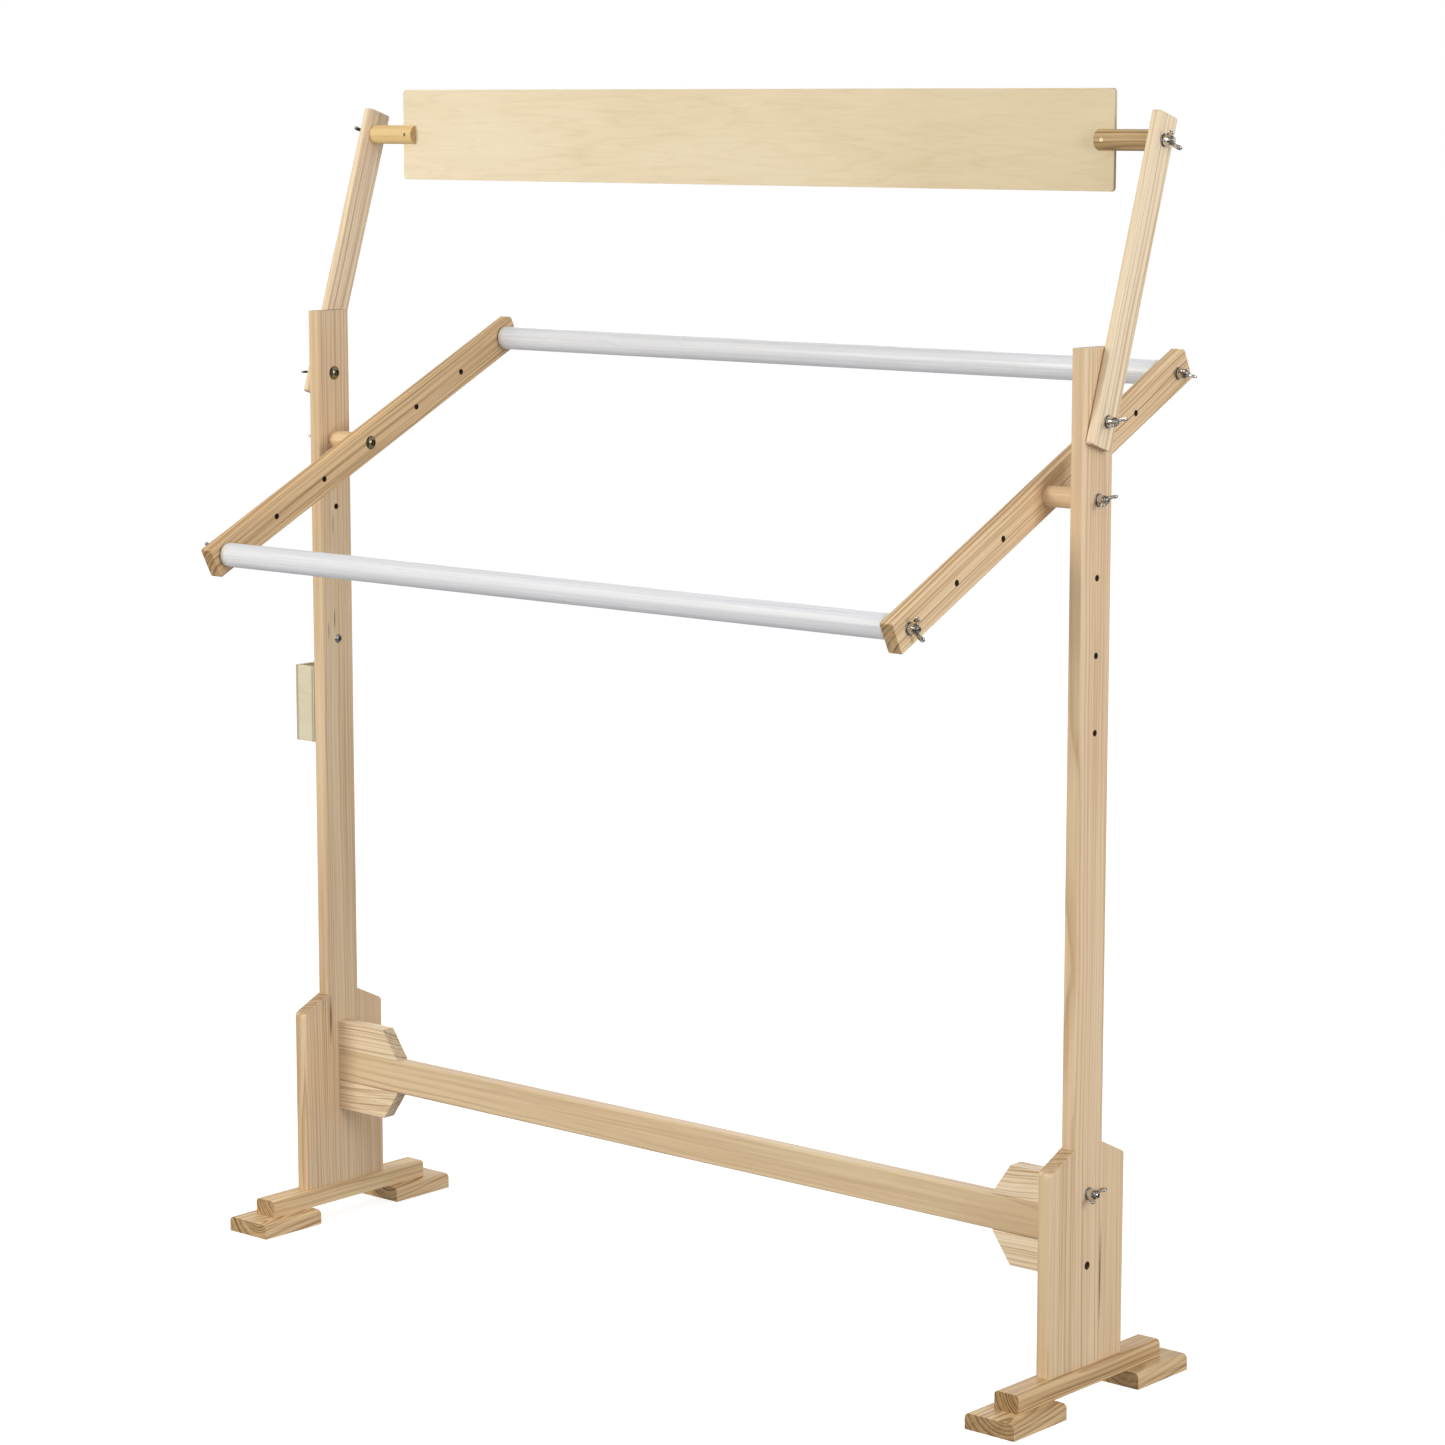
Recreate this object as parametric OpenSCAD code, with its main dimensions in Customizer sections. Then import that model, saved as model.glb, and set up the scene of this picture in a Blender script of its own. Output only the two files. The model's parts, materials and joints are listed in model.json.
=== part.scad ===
// Floor stand with a tilting embroidery scroll frame, a chart holder and a side pocket.
// Millimetres. X runs from the left leg to the right leg, -Y faces the user, +Z is up.
// The origin is on the floor, midway between the legs and midway between the foot ends.

/* [Stand] */
// Height of the post tops above the floor
post_top = 995; // [950:5:1100]
// Width of a post, front to back
post_w = 45; // [40:1:60]
// Thickness of a post, measured across the stand
post_t = 16; // [14:1:20]
// Height of the highest hole in a post
top_hole_z = 928; // [880:1:960]
// Distance from one post hole to the next
hole_pitch = 72; // [60:1:80]
// Number of holes in a post
hole_count = 5; // [5:1:6]
// Width of the board glued to the front and to the back of a post's foot
gusset_w = 36; // [30:1:45]
// Height where the outer edge of a leg gusset ends
gusset_z = 230; // [215:1:240]
// Rise of a leg gusset's sloping shoulder
gusset_rise = 18; // [10:1:30]

/* [Feet] */
// Length of a foot rail
rail_len = 228; // [200:1:260]
// Width of a foot rail, across the stand
rail_w = 28; // [24:1:36]
// Height of a foot rail
rail_h = 18; // [14:1:24]
// Length of a foot pad, front to back
pad_len = 82; // [60:1:90]
// Width of a foot pad, across the stand
pad_w = 57; // [44:1:64]
// Thickness of a foot pad
pad_h = 16; // [12:1:20]
// Distance that a pad stands out past the end of its rail
pad_out = 26; // [10:1:30]

/* [Stretcher] */
// Height of the stretcher's lower edge above the floor
stretcher_z = 149; // [130:1:160]
// Height of the stretcher bar
stretcher_h = 36; // [30:1:44]
// Thickness of the stretcher bar
stretcher_t = 16; // [12:1:20]
// Height of a stretcher gusset
brace_h = 31.5; // [26:0.5:34]
// Length of a stretcher gusset along the leg end of its long edge
brace_len = 69; // [45:1:90]
// Run of the gusset's sloping end
brace_slope = 22; // [10:1:40]

/* [Scroll frame] */
// Tilt of the frame, rear end up, in degrees
frame_tilt = 26.4; // [0:0.1:60]
// Distance between the two side arms
tube_span = 880; // [840:5:900]
// Outer diameter of a fabric tube
tube_d = 25; // [20:1:32]
// Wall thickness of a fabric tube
tube_wall = 2.3; // [1.5:0.1:3]
// Length of a side arm
arm_len = 500; // [480:1:520]
// Width of a side arm
arm_w = 34; // [30:1:40]
// Thickness of a side arm
arm_t = 15; // [12:1:18]
// Distance from one arm hole to the next
arm_pitch = 77; // [70:1:78]
// Length of the round spacer between an arm and its post
spacer_len = 40; // [34:1:60]
// Diameter of the round wooden rod used for spacers and panel rods
rod_d = 20; // [16:1:24]

/* [Chart holder] */
// Lean of the chart arms behind upright, in degrees
chart_lean = 18; // [0:1:45]
// Distance between the two holes of a chart arm
chart_hole_gap = 266; // [220:1:300]
// Distance from a chart arm's hole to its end
chart_end = 25; // [18:1:30]
// Width of a chart arm
chart_w = 32; // [26:1:36]
// Thickness of a chart arm
chart_t = 9; // [8:1:14]
// Length of the chart panel
panel_len = 932; // [900:1:950]
// Height of the chart panel
panel_h = 95; // [70:1:120]
// Thickness of the chart panel
panel_t = 4; // [3:0.5:6]
// Depth that the panel is let into its rods
panel_lap = 18; // [12:1:24]

/* [Pocket] */
// Height of the pocket's rim above the floor
pocket_rim_z = 610; // [560:1:612]
// Height of the pocket box
pocket_h = 83; // [50:1:100]
// Depth of the pocket, measured away from the post
pocket_d = 28; // [20:1:28]
// Thickness of the pocket's plywood
ply = 4; // [3:0.5:5]

/* [Hardware] */
// Diameter of the bolts and studs
bolt_d = 6; // [5:1:6]
// Diameter of a bolt's domed head
head_d = 14.4; // [12:0.2:16]
// Height of a bolt's domed head
head_h = 4.4; // [3:0.2:5]
// Distance that bolts and studs stand out of the wood under their wing nuts
bolt_out = 12; // [11:0.5:14]
// Span of a wing nut
nut_span = 25.5; // [24:0.5:30]
// Thickness of a washer
washer_h = 1.2; // [1:0.1:1.6]
// Diameter of a washer
washer_d = 12.5; // [12:0.5:16]

/* [Hidden] */

$fn = 64;

// gaps that let pieces turn
face_gap = 0.2;
hole_r = bolt_d/2 + 0.1;
fit_r = bolt_d/2 + 0.06;

// length that a cutter runs past a face
cut = 1;

// rounded edges and corners
edge_r = 2.5;
rail_edge_r = 4;
pad_edge_r = 5;
arm_corner_r = 3;
chart_corner_r = 4;
panel_corner_r = 4;

// planes across the stand, measured from its middle
arm_in = tube_span/2;
arm_out = arm_in + arm_t;
post_in = arm_out + spacer_len;
post_mid = post_in + post_t/2;
post_out = post_in + post_t;
chart_in = post_out + face_gap;
chart_out = chart_in + chart_t;

// heights
rail_z = pad_h;
foot_z = pad_h + rail_h;
pivot_z = top_hole_z - hole_pitch;
low_hole_z = top_hole_z - 4*hole_pitch;
stretcher_mid = stretcher_z + stretcher_h/2;
leg_hole_off = 35;
leg_stud_z = stretcher_mid + leg_hole_off;
leg_dowel_z = stretcher_mid - leg_hole_off;

// foot pads
pad_y = rail_len/2 + pad_out - pad_len/2;

// scroll frame
arm_hole_count = 7;
last_station = (arm_hole_count - 1)/2*arm_pitch;
plug_rim = 7.4;
plug_gap = 0.6;
tube_end = arm_in - plug_gap - plug_rim;
plug_depth = 25;
tube_stud_in = 28;

// chart holder
chart_y = chart_hole_gap*sin(chart_lean);
chart_z = top_hole_z + chart_hole_gap*cos(chart_lean);
chart_len = chart_hole_gap + 2*chart_end;
rod_in = panel_len/2 - panel_lap;
panel_stud_in = 22;
panel_screw_x = rod_in + panel_lap/2;

// pocket
pocket_floor_z = pocket_rim_z - pocket_h;

// screws
screw_r = 2;
screw_head_r = 4;
screw_head_h = 3;
pad_overlap = pad_len - pad_out;
pad_screw_parts = [0.25, 0.75];
pad_screw_len = pad_h + 12;
rail_screw_len = rail_h + 32;
rail_screw_y = post_w/2 + gusset_w/2;
dowel_r = 4;
dowel_in = 23;
dowel_recess = 5;
leg_stud_in = 42;
panel_screw_r = 1.2;
panel_screw_head_r = 1.8;
panel_screw_head_h = 1.6;
panel_screw_cover = 2;
post_screw_head_r = 4.8;
post_screw_head_h = 2.4;

// bolt heads: width of the hexagon socket, and the metal left under it
socket_d = 4.6;
head_floor = 1;

// wing nut
hub_r = 5.2;
hub_top_r = 4.2;
hub_h = 8;
wing_t = 2.4;
wing_tip_r = 2.8;
wing_h = 13.5;
wing_root = 3.5;
wing_sink = 0.6;
wing_slope = 53;

// turns of the wing nuts at rest, [left, right], in degrees from upright
leg_nut_turn = [20, -66];
pivot_nut_turn = [70, -72];
front_nut_turn = [0, -6];
rear_nut_turn = [70, 46];
chart_nut_turn = [90, -78];
panel_nut_turn = [50, 47];

// colours
pine = [0.80, 0.68, 0.53];
pine_pale = [0.89, 0.79, 0.66];
pine_warm = [0.84, 0.70, 0.52];
plywood = [0.90, 0.83, 0.72];
white_plastic = [0.86, 0.86, 0.87];
zinc = [0.70, 0.71, 0.72];
dark_steel = [0.42, 0.41, 0.40];

// ---- shared shapes ----

// rectangle with rounded corners, centred
module round_rect(w, h, r) {
    square([w - 2*r, h], center = true);
    square([w, h - 2*r], center = true);
    for (sx = [-1, 1], sy = [-1, 1])
        translate([sx*(w/2 - r), sy*(h/2 - r)])
            circle(r);
}

// rectangle with its two upper corners rounded, centred
module round_top_rect(w, h, r) {
    translate([-w/2, -h/2])
        square([w, h - r]);
    translate([r - w/2, -h/2])
        square([w - 2*r, h]);
    for (sx = [-1, 1])
        translate([sx*(w/2 - r), h/2 - r])
            circle(r);
}

// cylinder along +X
module rod_x(r, len) {
    rotate([0, 90, 0])
        cylinder(r = r, h = len);
}

// bar along Y with the outline given as its child, centred
module bar_y(len) {
    rotate([90, 0, 0])
        linear_extrude(len, center = true)
            children();
}

// the left or the right one of a pair of values
function pick(pair, side) = pair[side < 0 ? 0 : 1];

// copies a piece that was made on the right side to the side asked for
module on_side(side) {
    mirror([side < 0 ? 1 : 0, 0, 0])
        children();
}

// places a piece given in the side arm's own frame: Y along the arm, origin at the pivot
module in_frame() {
    translate([0, 0, pivot_z])
        rotate([frame_tilt, 0, 0])
            children();
}

// places a piece given in the chart arm's own frame: Z along the arm, origin at its lower hole
module in_chart_arm() {
    translate([0, 0, top_hole_z])
        rotate([-chart_lean, 0, 0])
            children();
}

// flat washer with its underside at x = 0
module washer() {
    difference() {
        rod_x(washer_d/2, washer_h);
        translate([-cut, 0, 0])
            rod_x(fit_r, washer_h + 2*cut);
    }
}

// domed head with a hexagon socket, its underside at x = 0, the dome towards -X
module bolt_head() {
    dome_r = (head_d*head_d/4 + head_h*head_h)/(2*head_h);
    difference() {
        intersection() {
            translate([-head_h, 0, 0])
                rod_x(head_d/2, head_h);
            translate([dome_r - head_h, 0, 0])
                sphere(dome_r);
        }
        translate([-head_h - head_floor, 0, 0])
            rotate([0, 90, 0])
                cylinder(d = socket_d, h = head_h, $fn = 6);
    }
}

// bolt with its head's underside at x = 0 and its shank towards +X
module bolt(len) {
    bolt_head();
    translate([-head_floor/2, 0, 0])
        rod_x(bolt_d/2, len + head_floor/2);
}

// outline of one wing, in the plane through the nut's axis
module wing_outline() {
    tip_y = nut_span/2 - wing_tip_r;
    tip_x = wing_h - wing_tip_r;
    reach_x = wing_tip_r*cos(wing_slope);
    reach_y = wing_tip_r*sin(wing_slope);
    translate([tip_x, tip_y])
        circle(wing_tip_r);
    polygon([
        [wing_sink, wing_root],
        [wing_sink, hub_r - wing_sink],
        [tip_x - reach_x, tip_y + reach_y],
        [tip_x + reach_y, tip_y - reach_x],
        [hub_h, wing_root - wing_sink],
        [hub_h - wing_sink, wing_root]
    ]);
}

// wing nut with its base at x = 0, its wings turned from upright by the angle given
module wing_nut(turn) {
    rotate([turn, 0, 0])
        difference() {
            union() {
                rotate([0, 90, 0])
                    cylinder(r1 = hub_r, r2 = hub_top_r, h = hub_h);
                for (flip = [0, 180])
                    rotate([90 + flip, 0, 0])
                        linear_extrude(wing_t, center = true)
                            wing_outline();
            }
            translate([-cut, 0, 0])
                rod_x(fit_r, wing_h + 2*cut);
        }
}

// countersunk screw pointing up, its head's face at z = 0
module wood_screw(len) {
    cylinder(r1 = screw_head_r, r2 = screw_r, h = screw_head_h);
    cylinder(r = screw_r, h = len);
}

// ---- legs ----

module post(side) {
    color(pine)
        on_side(side)
            difference() {
                union() {
                    translate([post_mid, 0, foot_z])
                        linear_extrude(post_top - foot_z)
                            round_rect(post_t, post_w, edge_r);
                    translate([post_in, -post_w/2, foot_z])
                        cube([post_t, post_w, gusset_z + gusset_rise - foot_z]);
                }
                for (k = [0 : hole_count - 1])
                    translate([post_in - cut, 0, top_hole_z - k*hole_pitch])
                        rod_x(hole_r, post_t + 2*cut);
                translate([post_in - cut, 0, leg_stud_z])
                    rod_x(hole_r, post_t + 2*cut);
                translate([post_in - cut, 0, leg_dowel_z])
                    rod_x(dowel_r, post_t + 2*cut);
            }
}

// outline of a rear gusset in the Y-Z plane, its outer shoulder eased by an arc
module gusset_outline() {
    ease = 8;
    steps = 5;
    inner = post_w/2;
    outer = inner + gusset_w;
    sweep = 90 - atan(gusset_rise/gusset_w);
    arc_y = outer - ease;
    arc_z = gusset_z - ease/2;
    polygon(concat(
        [[inner, foot_z], [outer, foot_z]],
        [for (k = [0 : steps])
            [arc_y + ease*cos(k*sweep/steps), arc_z + ease*sin(k*sweep/steps)]],
        [[inner, gusset_z + gusset_rise]]
    ));
}

module leg_gusset(side, back) {
    color(pine)
        on_side(side)
            mirror([0, back ? 0 : 1, 0])
                difference() {
                    intersection() {
                        translate([post_in, 0, 0])
                            rotate([90, 0, 90])
                                linear_extrude(post_t)
                                    gusset_outline();
                        translate([post_mid, 0, foot_z])
                            linear_extrude(post_top)
                                round_rect(post_t, post_w + 2*gusset_w, edge_r);
                    }
                    rail_screws();
                }
}

// the screws that hold a leg to its rail, seen from the right leg
module rail_screws() {
    for (sy = [-1, 1])
        translate([post_mid, sy*rail_screw_y, rail_z])
            wood_screw(rail_screw_len);
}

// the two screws that hold a pad to its rail
module pad_screws(back) {
    for (part = pad_screw_parts)
        translate([post_mid, (back ? 1 : -1)*(rail_len/2 - part*pad_overlap), 0])
            wood_screw(pad_screw_len);
}

module foot_rail(side) {
    color(pine_warm)
        on_side(side)
            difference() {
                translate([post_mid, 0, rail_z + rail_h/2])
                    bar_y(rail_len)
                        round_top_rect(rail_w, rail_h, rail_edge_r);
                rail_screws();
                pad_screws(true);
                pad_screws(false);
            }
}

module foot_pad(side, back) {
    color(pine)
        on_side(side)
            difference() {
                translate([post_mid, (back ? 1 : -1)*pad_y, pad_h/2])
                    bar_y(pad_len)
                        round_top_rect(pad_w, pad_h, pad_edge_r);
                pad_screws(back);
            }
}

module foot_screws() {
    color(zinc)
        for (side = [-1, 1])
            on_side(side) {
                rail_screws();
                pad_screws(true);
                pad_screws(false);
            }
}

// ---- stretcher ----

module stretcher_bar() {
    color(pine_warm)
        translate([0, 0, stretcher_mid])
            rotate([0, 90, 0])
                linear_extrude(2*post_in, center = true)
                    round_rect(stretcher_h, stretcher_t, edge_r);
}

// gusset above or below the end of the stretcher, bored for the leg's stud or dowel
module brace(side, up) {
    low = stretcher_h/2;
    high = low + brace_h;
    bore_r = up ? bolt_d/2 : dowel_r;
    bore_depth = up ? leg_stud_in : dowel_in;
    color(pine_pale)
        on_side(side)
            translate([0, 0, stretcher_mid])
                mirror([0, 0, up ? 0 : 1])
                    difference() {
                        translate([post_in, stretcher_t/2, 0])
                            rotate([90, 0, 0])
                                linear_extrude(stretcher_t)
                                    polygon([
                                        [0, low],
                                        [0, high],
                                        [-brace_len, high],
                                        [-brace_len - brace_slope, low]
                                    ]);
                        translate([post_in - bore_depth, 0, leg_hole_off])
                            rod_x(bore_r, bore_depth + cut);
                    }
}

module leg_studs() {
    color(dark_steel)
        for (side = [-1, 1])
            on_side(side)
                translate([post_in - leg_stud_in, 0, leg_stud_z])
                    rod_x(bolt_d/2, leg_stud_in + post_t + bolt_out);
}

module leg_locating_dowels() {
    color(pine_warm)
        for (side = [-1, 1])
            on_side(side)
                translate([post_in - dowel_in, 0, leg_dowel_z])
                    rod_x(dowel_r, dowel_in + post_t - dowel_recess);
}

module stand_washers() {
    color(zinc)
        for (side = [-1, 1], z = [leg_stud_z, pivot_z])
            on_side(side)
                translate([post_out, 0, z])
                    washer();
}

module leg_wing_nut(side) {
    color(zinc)
        on_side(side)
            translate([post_out + washer_h, 0, leg_stud_z])
                wing_nut(pick(leg_nut_turn, side));
}

// ---- scroll frame ----

module frame_arm(side) {
    color(pine_pale)
        on_side(side)
            in_frame()
                difference() {
                    intersection() {
                        translate([arm_in + arm_t/2, 0, 0])
                            bar_y(arm_len)
                                round_rect(arm_t, arm_w, edge_r);
                        translate([arm_in, 0, 0])
                            rotate([90, 0, 90])
                                linear_extrude(arm_t)
                                    round_rect(arm_len, arm_w, arm_corner_r);
                    }
                    for (k = [0 : arm_hole_count - 1])
                        translate([arm_in - cut, k*arm_pitch - last_station, 0])
                            rod_x(hole_r, arm_t + 2*cut);
                }
}

module spacer(side) {
    color(pine_warm)
        on_side(side)
            translate([arm_out, 0, pivot_z])
                difference() {
                    rod_x(rod_d/2, spacer_len - face_gap);
                    translate([-cut, 0, 0])
                        rod_x(hole_r, spacer_len + 2*cut);
                }
}

module frame_pivot_bolts() {
    color(dark_steel)
        for (side = [-1, 1])
            on_side(side)
                translate([arm_in, 0, pivot_z])
                    bolt(post_out + bolt_out - arm_in);
}

// washers under the wing nuts of the two tubes
module frame_washers() {
    color(zinc)
        for (side = [-1, 1], end = [-1, 1])
            on_side(side)
                in_frame()
                    translate([arm_out, end*last_station, 0])
                        washer();
}

module pivot_wing_nut(side) {
    color(zinc)
        on_side(side)
            translate([post_out + washer_h + face_gap, 0, pivot_z])
                wing_nut(pick(pivot_nut_turn, side));
}

// end is -1 for the front tube and 1 for the rear tube
module fabric_tube(end) {
    color(white_plastic)
        in_frame()
            translate([0, end*last_station, 0])
                difference() {
                    translate([-tube_end, 0, 0])
                        rod_x(tube_d/2, 2*tube_end);
                    translate([-tube_end - cut, 0, 0])
                        rod_x(tube_d/2 - tube_wall, 2*tube_end + 2*cut);
                }
}

module tube_plugs(end) {
    color(white_plastic)
        for (side = [-1, 1])
            on_side(side)
                in_frame()
                    translate([tube_end, end*last_station, 0])
                        difference() {
                            union() {
                                rod_x(tube_d/2, plug_rim);
                                translate([-plug_depth, 0, 0])
                                    rod_x(tube_d/2 - tube_wall, plug_depth + cut);
                            }
                            translate([-plug_depth - cut, 0, 0])
                                rod_x(bolt_d/2, plug_depth + plug_rim + 2*cut);
                        }
}

module tube_studs(end) {
    color(dark_steel)
        for (side = [-1, 1])
            on_side(side)
                in_frame()
                    translate([arm_in - tube_stud_in, end*last_station, 0])
                        rod_x(bolt_d/2, tube_stud_in + arm_t + bolt_out);
}

module tube_wing_nut(side, end) {
    color(zinc)
        on_side(side)
            in_frame()
                translate([arm_out + washer_h + face_gap, end*last_station, 0])
                    wing_nut(pick(end < 0 ? front_nut_turn : rear_nut_turn, side));
}

// ---- chart holder ----

module chart_arm(side) {
    color(pine_pale)
        on_side(side)
            in_chart_arm()
                difference() {
                    intersection() {
                        translate([chart_in + chart_t/2, 0, -chart_end])
                            linear_extrude(chart_len)
                                round_rect(chart_t, chart_w, edge_r);
                        translate([chart_in, 0, chart_hole_gap/2])
                            rotate([90, 0, 90])
                                linear_extrude(chart_t)
                                    round_rect(chart_w, chart_len, chart_corner_r);
                    }
                    for (z = [0, chart_hole_gap])
                        translate([chart_in - cut, 0, z])
                            rod_x(hole_r, chart_t + 2*cut);
                }
}

module chart_arm_bolts() {
    color(dark_steel)
        for (side = [-1, 1])
            on_side(side)
                translate([post_in - face_gap, 0, top_hole_z])
                    bolt(chart_out + bolt_out - post_in + face_gap);
}

module chart_arm_washers() {
    color(zinc)
        for (side = [-1, 1], z = [0, chart_hole_gap])
            on_side(side)
                in_chart_arm()
                    translate([chart_out, 0, z])
                        washer();
}

module chart_wing_nut(side) {
    color(zinc)
        on_side(side)
            translate([chart_out + washer_h + face_gap, 0, top_hole_z])
                wing_nut(pick(chart_nut_turn, side));
}

module panel_outline() {
    round_rect(panel_len, panel_h, panel_corner_r);
}

module chart_panel() {
    color(plywood)
        translate([0, chart_y, chart_z])
            difference() {
                rotate([90, 0, 0])
                    linear_extrude(panel_t, center = true)
                        panel_outline();
                for (side = [-1, 1])
                    translate([side*panel_screw_x, 0, 0])
                        rotate([90, 0, 0])
                            cylinder(r = panel_screw_r, h = 2*panel_t, center = true);
            }
}

module panel_rod(side) {
    color(pine_warm)
        on_side(side)
            translate([0, chart_y, chart_z])
                difference() {
                    translate([rod_in, 0, 0])
                        rod_x(rod_d/2, chart_in - face_gap - rod_in);
                    translate([rod_in - cut, -panel_t/2, -rod_d])
                        cube([panel_lap + cut, panel_t, 2*rod_d]);
                    panel_screw();
                    translate([chart_in - panel_stud_in, 0, 0])
                        rod_x(bolt_d/2, panel_stud_in + cut);
                }
}

// the small screw that pins the panel in its rod, its head towards the user
module panel_screw() {
    tip = rod_d/2 - panel_screw_cover;
    translate([panel_screw_x, 0, 0])
        rotate([90, 0, 0]) {
            translate([0, 0, rod_d/2 - panel_screw_head_h])
                cylinder(r = panel_screw_head_r, h = panel_screw_head_h);
            translate([0, 0, -tip])
                cylinder(r = panel_screw_r, h = tip + rod_d/2 - panel_screw_head_h/2);
        }
}

module panel_screws() {
    color(dark_steel)
        for (side = [-1, 1])
            on_side(side)
                translate([0, chart_y, chart_z])
                    panel_screw();
}

module panel_studs() {
    color(dark_steel)
        for (side = [-1, 1])
            on_side(side)
                translate([chart_in - panel_stud_in, chart_y, chart_z])
                    rod_x(bolt_d/2, panel_stud_in + chart_t + bolt_out);
}

module panel_wing_nut(side) {
    color(zinc)
        on_side(side)
            translate([chart_out + washer_h + face_gap, chart_y, chart_z])
                wing_nut(pick(panel_nut_turn, side));
}

// ---- side pocket, glued to the left post ----

module pocket_back() {
    color(plywood)
        translate([-post_out - ply, -post_w/2, pocket_floor_z])
            cube([ply, post_w, pocket_h]);
}

module pocket_outer_wall() {
    color(plywood)
        translate([-post_out - pocket_d, -post_w/2, pocket_floor_z])
            cube([ply, post_w, pocket_h]);
}

module pocket_end_walls() {
    color(plywood)
        for (sy = [-1, 1])
            translate([-post_out - pocket_d + ply, sy*(post_w - ply)/2 - ply/2, pocket_floor_z])
                cube([pocket_d - 2*ply, ply, pocket_h]);
}

module pocket_floor() {
    color(plywood)
        translate([-post_out - pocket_d + ply, -post_w/2 + ply, pocket_floor_z])
            cube([pocket_d - 2*ply, post_w - 2*ply, ply]);
}

// pan-head screw in the left post's lowest hole, its head on the inner face
module left_post_screw() {
    color(zinc)
        translate([-post_in, 0, low_hole_z]) {
            rod_x(post_screw_head_r, post_screw_head_h);
            translate([-post_t, 0, 0])
                rod_x(bolt_d/2, post_t + post_screw_head_h/2);
        }
}

// ---- the parts ----

post(-1);  // left_post
post(1);  // right_post
leg_gusset(-1, false);  // left_front_gusset
leg_gusset(-1, true);  // left_rear_gusset
leg_gusset(1, false);  // right_front_gusset
leg_gusset(1, true);  // right_rear_gusset
foot_rail(-1);  // left_foot_rail
foot_rail(1);  // right_foot_rail
foot_pad(-1, false);  // left_front_pad
foot_pad(-1, true);  // left_rear_pad
foot_pad(1, false);  // right_front_pad
foot_pad(1, true);  // right_rear_pad
stretcher_bar();
brace(-1, true);  // left_upper_brace
brace(-1, false);  // left_lower_brace
brace(1, true);  // right_upper_brace
brace(1, false);  // right_lower_brace
leg_studs();
leg_locating_dowels();
foot_screws();
stand_washers();
leg_wing_nut(-1);  // left_leg_wing_nut
leg_wing_nut(1);  // right_leg_wing_nut
frame_arm(-1);  // left_frame_arm
frame_arm(1);  // right_frame_arm
spacer(-1);  // left_spacer
spacer(1);  // right_spacer
frame_pivot_bolts();
frame_washers();
pivot_wing_nut(-1);  // left_pivot_wing_nut
pivot_wing_nut(1);  // right_pivot_wing_nut
fabric_tube(-1);  // front_tube
tube_plugs(-1);  // front_tube_plugs
tube_studs(-1);  // front_tube_studs
fabric_tube(1);  // rear_tube
tube_plugs(1);  // rear_tube_plugs
tube_studs(1);  // rear_tube_studs
tube_wing_nut(-1, -1);  // front_left_wing_nut
tube_wing_nut(1, -1);  // front_right_wing_nut
tube_wing_nut(-1, 1);  // rear_left_wing_nut
tube_wing_nut(1, 1);  // rear_right_wing_nut
chart_arm(-1);  // left_chart_arm
chart_arm(1);  // right_chart_arm
chart_arm_bolts();
chart_arm_washers();
chart_wing_nut(-1);  // left_chart_wing_nut
chart_wing_nut(1);  // right_chart_wing_nut
chart_panel();
panel_rod(-1);  // left_panel_rod
panel_rod(1);  // right_panel_rod
panel_screws();
panel_studs();
panel_wing_nut(-1);  // left_panel_wing_nut
panel_wing_nut(1);  // right_panel_wing_nut
pocket_back();
pocket_outer_wall();
pocket_end_walls();
pocket_floor();
left_post_screw();
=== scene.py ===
"""Looks for a floor stand that holds a tilting embroidery scroll frame, a chart panel and a small pocket.

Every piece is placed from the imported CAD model. Units are metres; X runs across the stand, -Y faces the
user and +Z is up.
"""

import json
import math
import random

import bmesh
import bpy
import numpy as np
from mathutils import Matrix, Vector


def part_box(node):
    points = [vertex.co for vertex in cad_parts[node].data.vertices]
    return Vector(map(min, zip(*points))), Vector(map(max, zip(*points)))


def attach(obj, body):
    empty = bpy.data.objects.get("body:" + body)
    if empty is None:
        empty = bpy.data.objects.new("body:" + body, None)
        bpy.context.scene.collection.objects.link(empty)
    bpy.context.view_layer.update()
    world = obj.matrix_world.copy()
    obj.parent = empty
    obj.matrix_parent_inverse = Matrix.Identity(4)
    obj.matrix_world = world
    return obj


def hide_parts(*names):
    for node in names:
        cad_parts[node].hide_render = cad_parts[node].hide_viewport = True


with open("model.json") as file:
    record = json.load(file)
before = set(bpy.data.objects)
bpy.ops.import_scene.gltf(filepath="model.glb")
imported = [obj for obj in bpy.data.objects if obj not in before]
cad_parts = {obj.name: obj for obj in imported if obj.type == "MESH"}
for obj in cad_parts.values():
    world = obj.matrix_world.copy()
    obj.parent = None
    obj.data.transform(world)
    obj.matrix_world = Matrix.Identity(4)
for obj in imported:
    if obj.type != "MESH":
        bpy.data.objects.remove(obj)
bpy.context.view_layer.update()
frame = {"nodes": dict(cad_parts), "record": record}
NODES = frame["nodes"]
BODY_OF = {n: b for b, names in frame["record"]["behaviour"]["bodies"].items() for n in names}

X, Y, Z = Vector((1, 0, 0)), Vector((0, 1, 0)), Vector((0, 0, 1))
MM = 0.001
ROUND_STEPS = 96        # sides of the round wood and plastic
ARC_STEPS = 5           # of a rounded corner


# ---- reading the CAD ----

def middle(node):
    """The centre of a node's box."""
    low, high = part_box(node)
    return (low + high) / 2


def merged(node):
    """A node's mesh with its doubled vertices joined, as a BMesh."""
    bm = bmesh.new()
    bm.from_mesh(NODES[node].data)
    bmesh.ops.remove_doubles(bm, verts=bm.verts, dist=1e-6)
    return bm


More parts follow.
